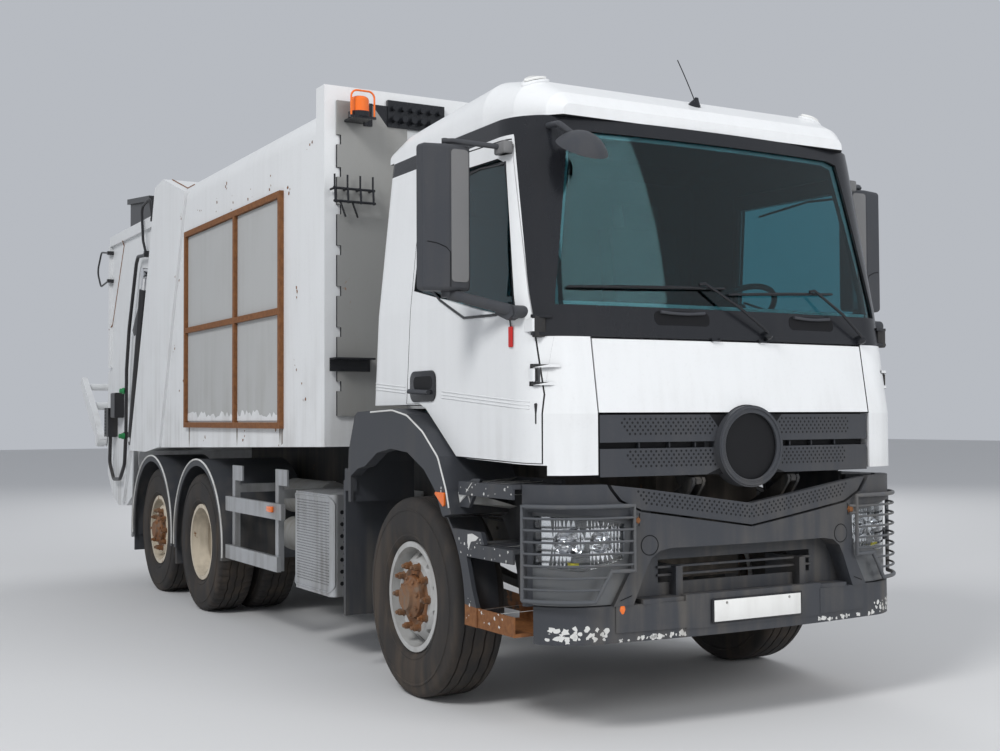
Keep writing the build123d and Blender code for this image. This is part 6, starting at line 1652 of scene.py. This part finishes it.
# %% Flaked paint
STEP_PLATE_Z, STEP_PLATE_X = 0.565, fx(0.66)
BARE_PATCHES = (
    ((0.500, 1.165), (0.560, 1.188), (0.640, 1.183), (0.705, 1.168), (0.645, 1.120),
     (0.655, 1.062), (0.640, 1.036), (0.566, 1.022), (0.548, 1.060), (0.530, 1.112)),
    ((0.655, 0.912), (0.702, 0.918), (0.765, 0.904), (0.738, 0.886), (0.690, 0.878),
     (0.676, 0.860), (0.664, 0.835), (0.652, 0.872)),
)
BARE_THICK = 0.0010
BEAM_COUNT, BEAM_SIZES, BEAM_SEED = 34, (0.003, 0.016), 3
STEP_COUNT, STEP_SIZES, STEP_SEED = 26, (0.002, 0.008), 4
BEAM_FIELDS = ((-1.10, 0.452, -0.80, 0.520), (0.86, 0.452, 1.10, 0.520),
               (-0.78, 0.446, -0.40, 0.462), (0.40, 0.446, 0.86, 0.462))
STEP_FIELDS = ((fx(0.56), 0.80, fx(1.10), 0.90), (fx(0.62), 0.48, fx(1.10), 0.62),
               (fx(0.45), 1.10, fx(1.10), 1.18))
paint_where("entry_steps", RUSTY_STEEL,
            lambda place, normal: place.z < STEP_PLATE_Z and place.x > STEP_PLATE_X)
step_skin = surface_of("entry_steps", "front_fenders")
for side, sign in SIDES.items():
    for index, patch in enumerate(BARE_PATCHES):
        plate_on(f"bare_patch_{index}_{side}", step_skin, from_side(sign),
                 [(fx(x), z) for x, z in patch], "chassis", PIPING_WHITE, BARE_THICK)
flecks("beam_flakes", surface_of("bumper"), from_ahead, BEAM_FIELDS, BEAM_COUNT, BEAM_SIZES,
       "chassis", PIPING_WHITE, BEAM_SEED)
flecks("step_flakes", step_skin, from_side(SIDES["right"]), STEP_FIELDS, STEP_COUNT, STEP_SIZES,
       "chassis", PIPING_WHITE, STEP_SEED)
print("flaked paint done")

# %% [markdown]
# ## Floor, light and camera
# A pale floor with soft lamps keeps the shape readable. The camera stands where the photograph
# was taken from: about ten metres ahead and to the truck's right, at eye height.

# %% Floor and light
FLOOR_COLOUR = (0.62, 0.62, 0.62)
FLOOR_REACH = 60.0
floor_mesh = bpy.data.meshes.new("floor")
floor_mesh.from_pydata([(x * FLOOR_REACH, y * FLOOR_REACH, 0)
                        for x, y in ((-1, -1), (1, -1), (1, 1), (-1, 1))], [], [(0, 1, 2, 3)])
floor = new_object("floor", floor_mesh)
floor_mesh.materials.append(finish("floor_grey", FLOOR_COLOUR, 0.9))


def turned_to(obj, place, aim, roll=0.0):
    """Puts a lamp or a camera in its place, looking along a direction."""
    obj.location = place
    obj.rotation_mode = "QUATERNION"
    obj.rotation_quaternion = aim.to_track_quat("-Z", "Y") @ Quaternion((0, 0, 1), roll)


def soft_lamp(name, place, size, power):
    data = bpy.data.lights.new(name, "AREA")
    data.shape = "DISK"
    data.size = size
    data.energy = power
    lamp = new_object(name, data)
    turned_to(lamp, place, LAMP_TARGET - Vector(place))
    lamp.visible_glossy = False


LAMP_TARGET = Vector((1.0, 0.0, 1.5))
soft_lamp("key_lamp", (9.0, -12.0, 13.0), 5.0, 1750)
soft_lamp("front_lamp", (16.0, 3.0, 7.0), 8.0, 900)
soft_lamp("back_lamp", (-12.0, 9.0, 9.0), 8.0, 900)
world = bpy.data.worlds.new("studio")
bpy.context.scene.world = world
world.use_nodes = True
sky = world.node_tree.nodes["Background"]
sky.inputs["Color"].default_value = (0.86, 0.9, 0.97, 1)
sky.inputs["Strength"].default_value = 0.55
print("lamps placed")

# %% Camera
CAMERA_PLACE = Vector((9.6234, -4.2352, 1.4809))
CAMERA_AIM = Vector((-0.86875, 0.49416, 0.03266))
CAMERA_ROLL = math.radians(-0.2825)
CAMERA_LENS = 47.01
SENSOR_WIDTH = 36.0
camera_data = bpy.data.cameras.new("camera")
camera_data.lens = CAMERA_LENS
camera_data.sensor_width = SENSOR_WIDTH
camera = new_object("camera", camera_data)
turned_to(camera, CAMERA_PLACE, CAMERA_AIM, CAMERA_ROLL)
bpy.context.scene.camera = camera
bpy.context.scene.view_settings.view_transform = "Standard"
print("camera", [round(v, 3) for v in camera.location])
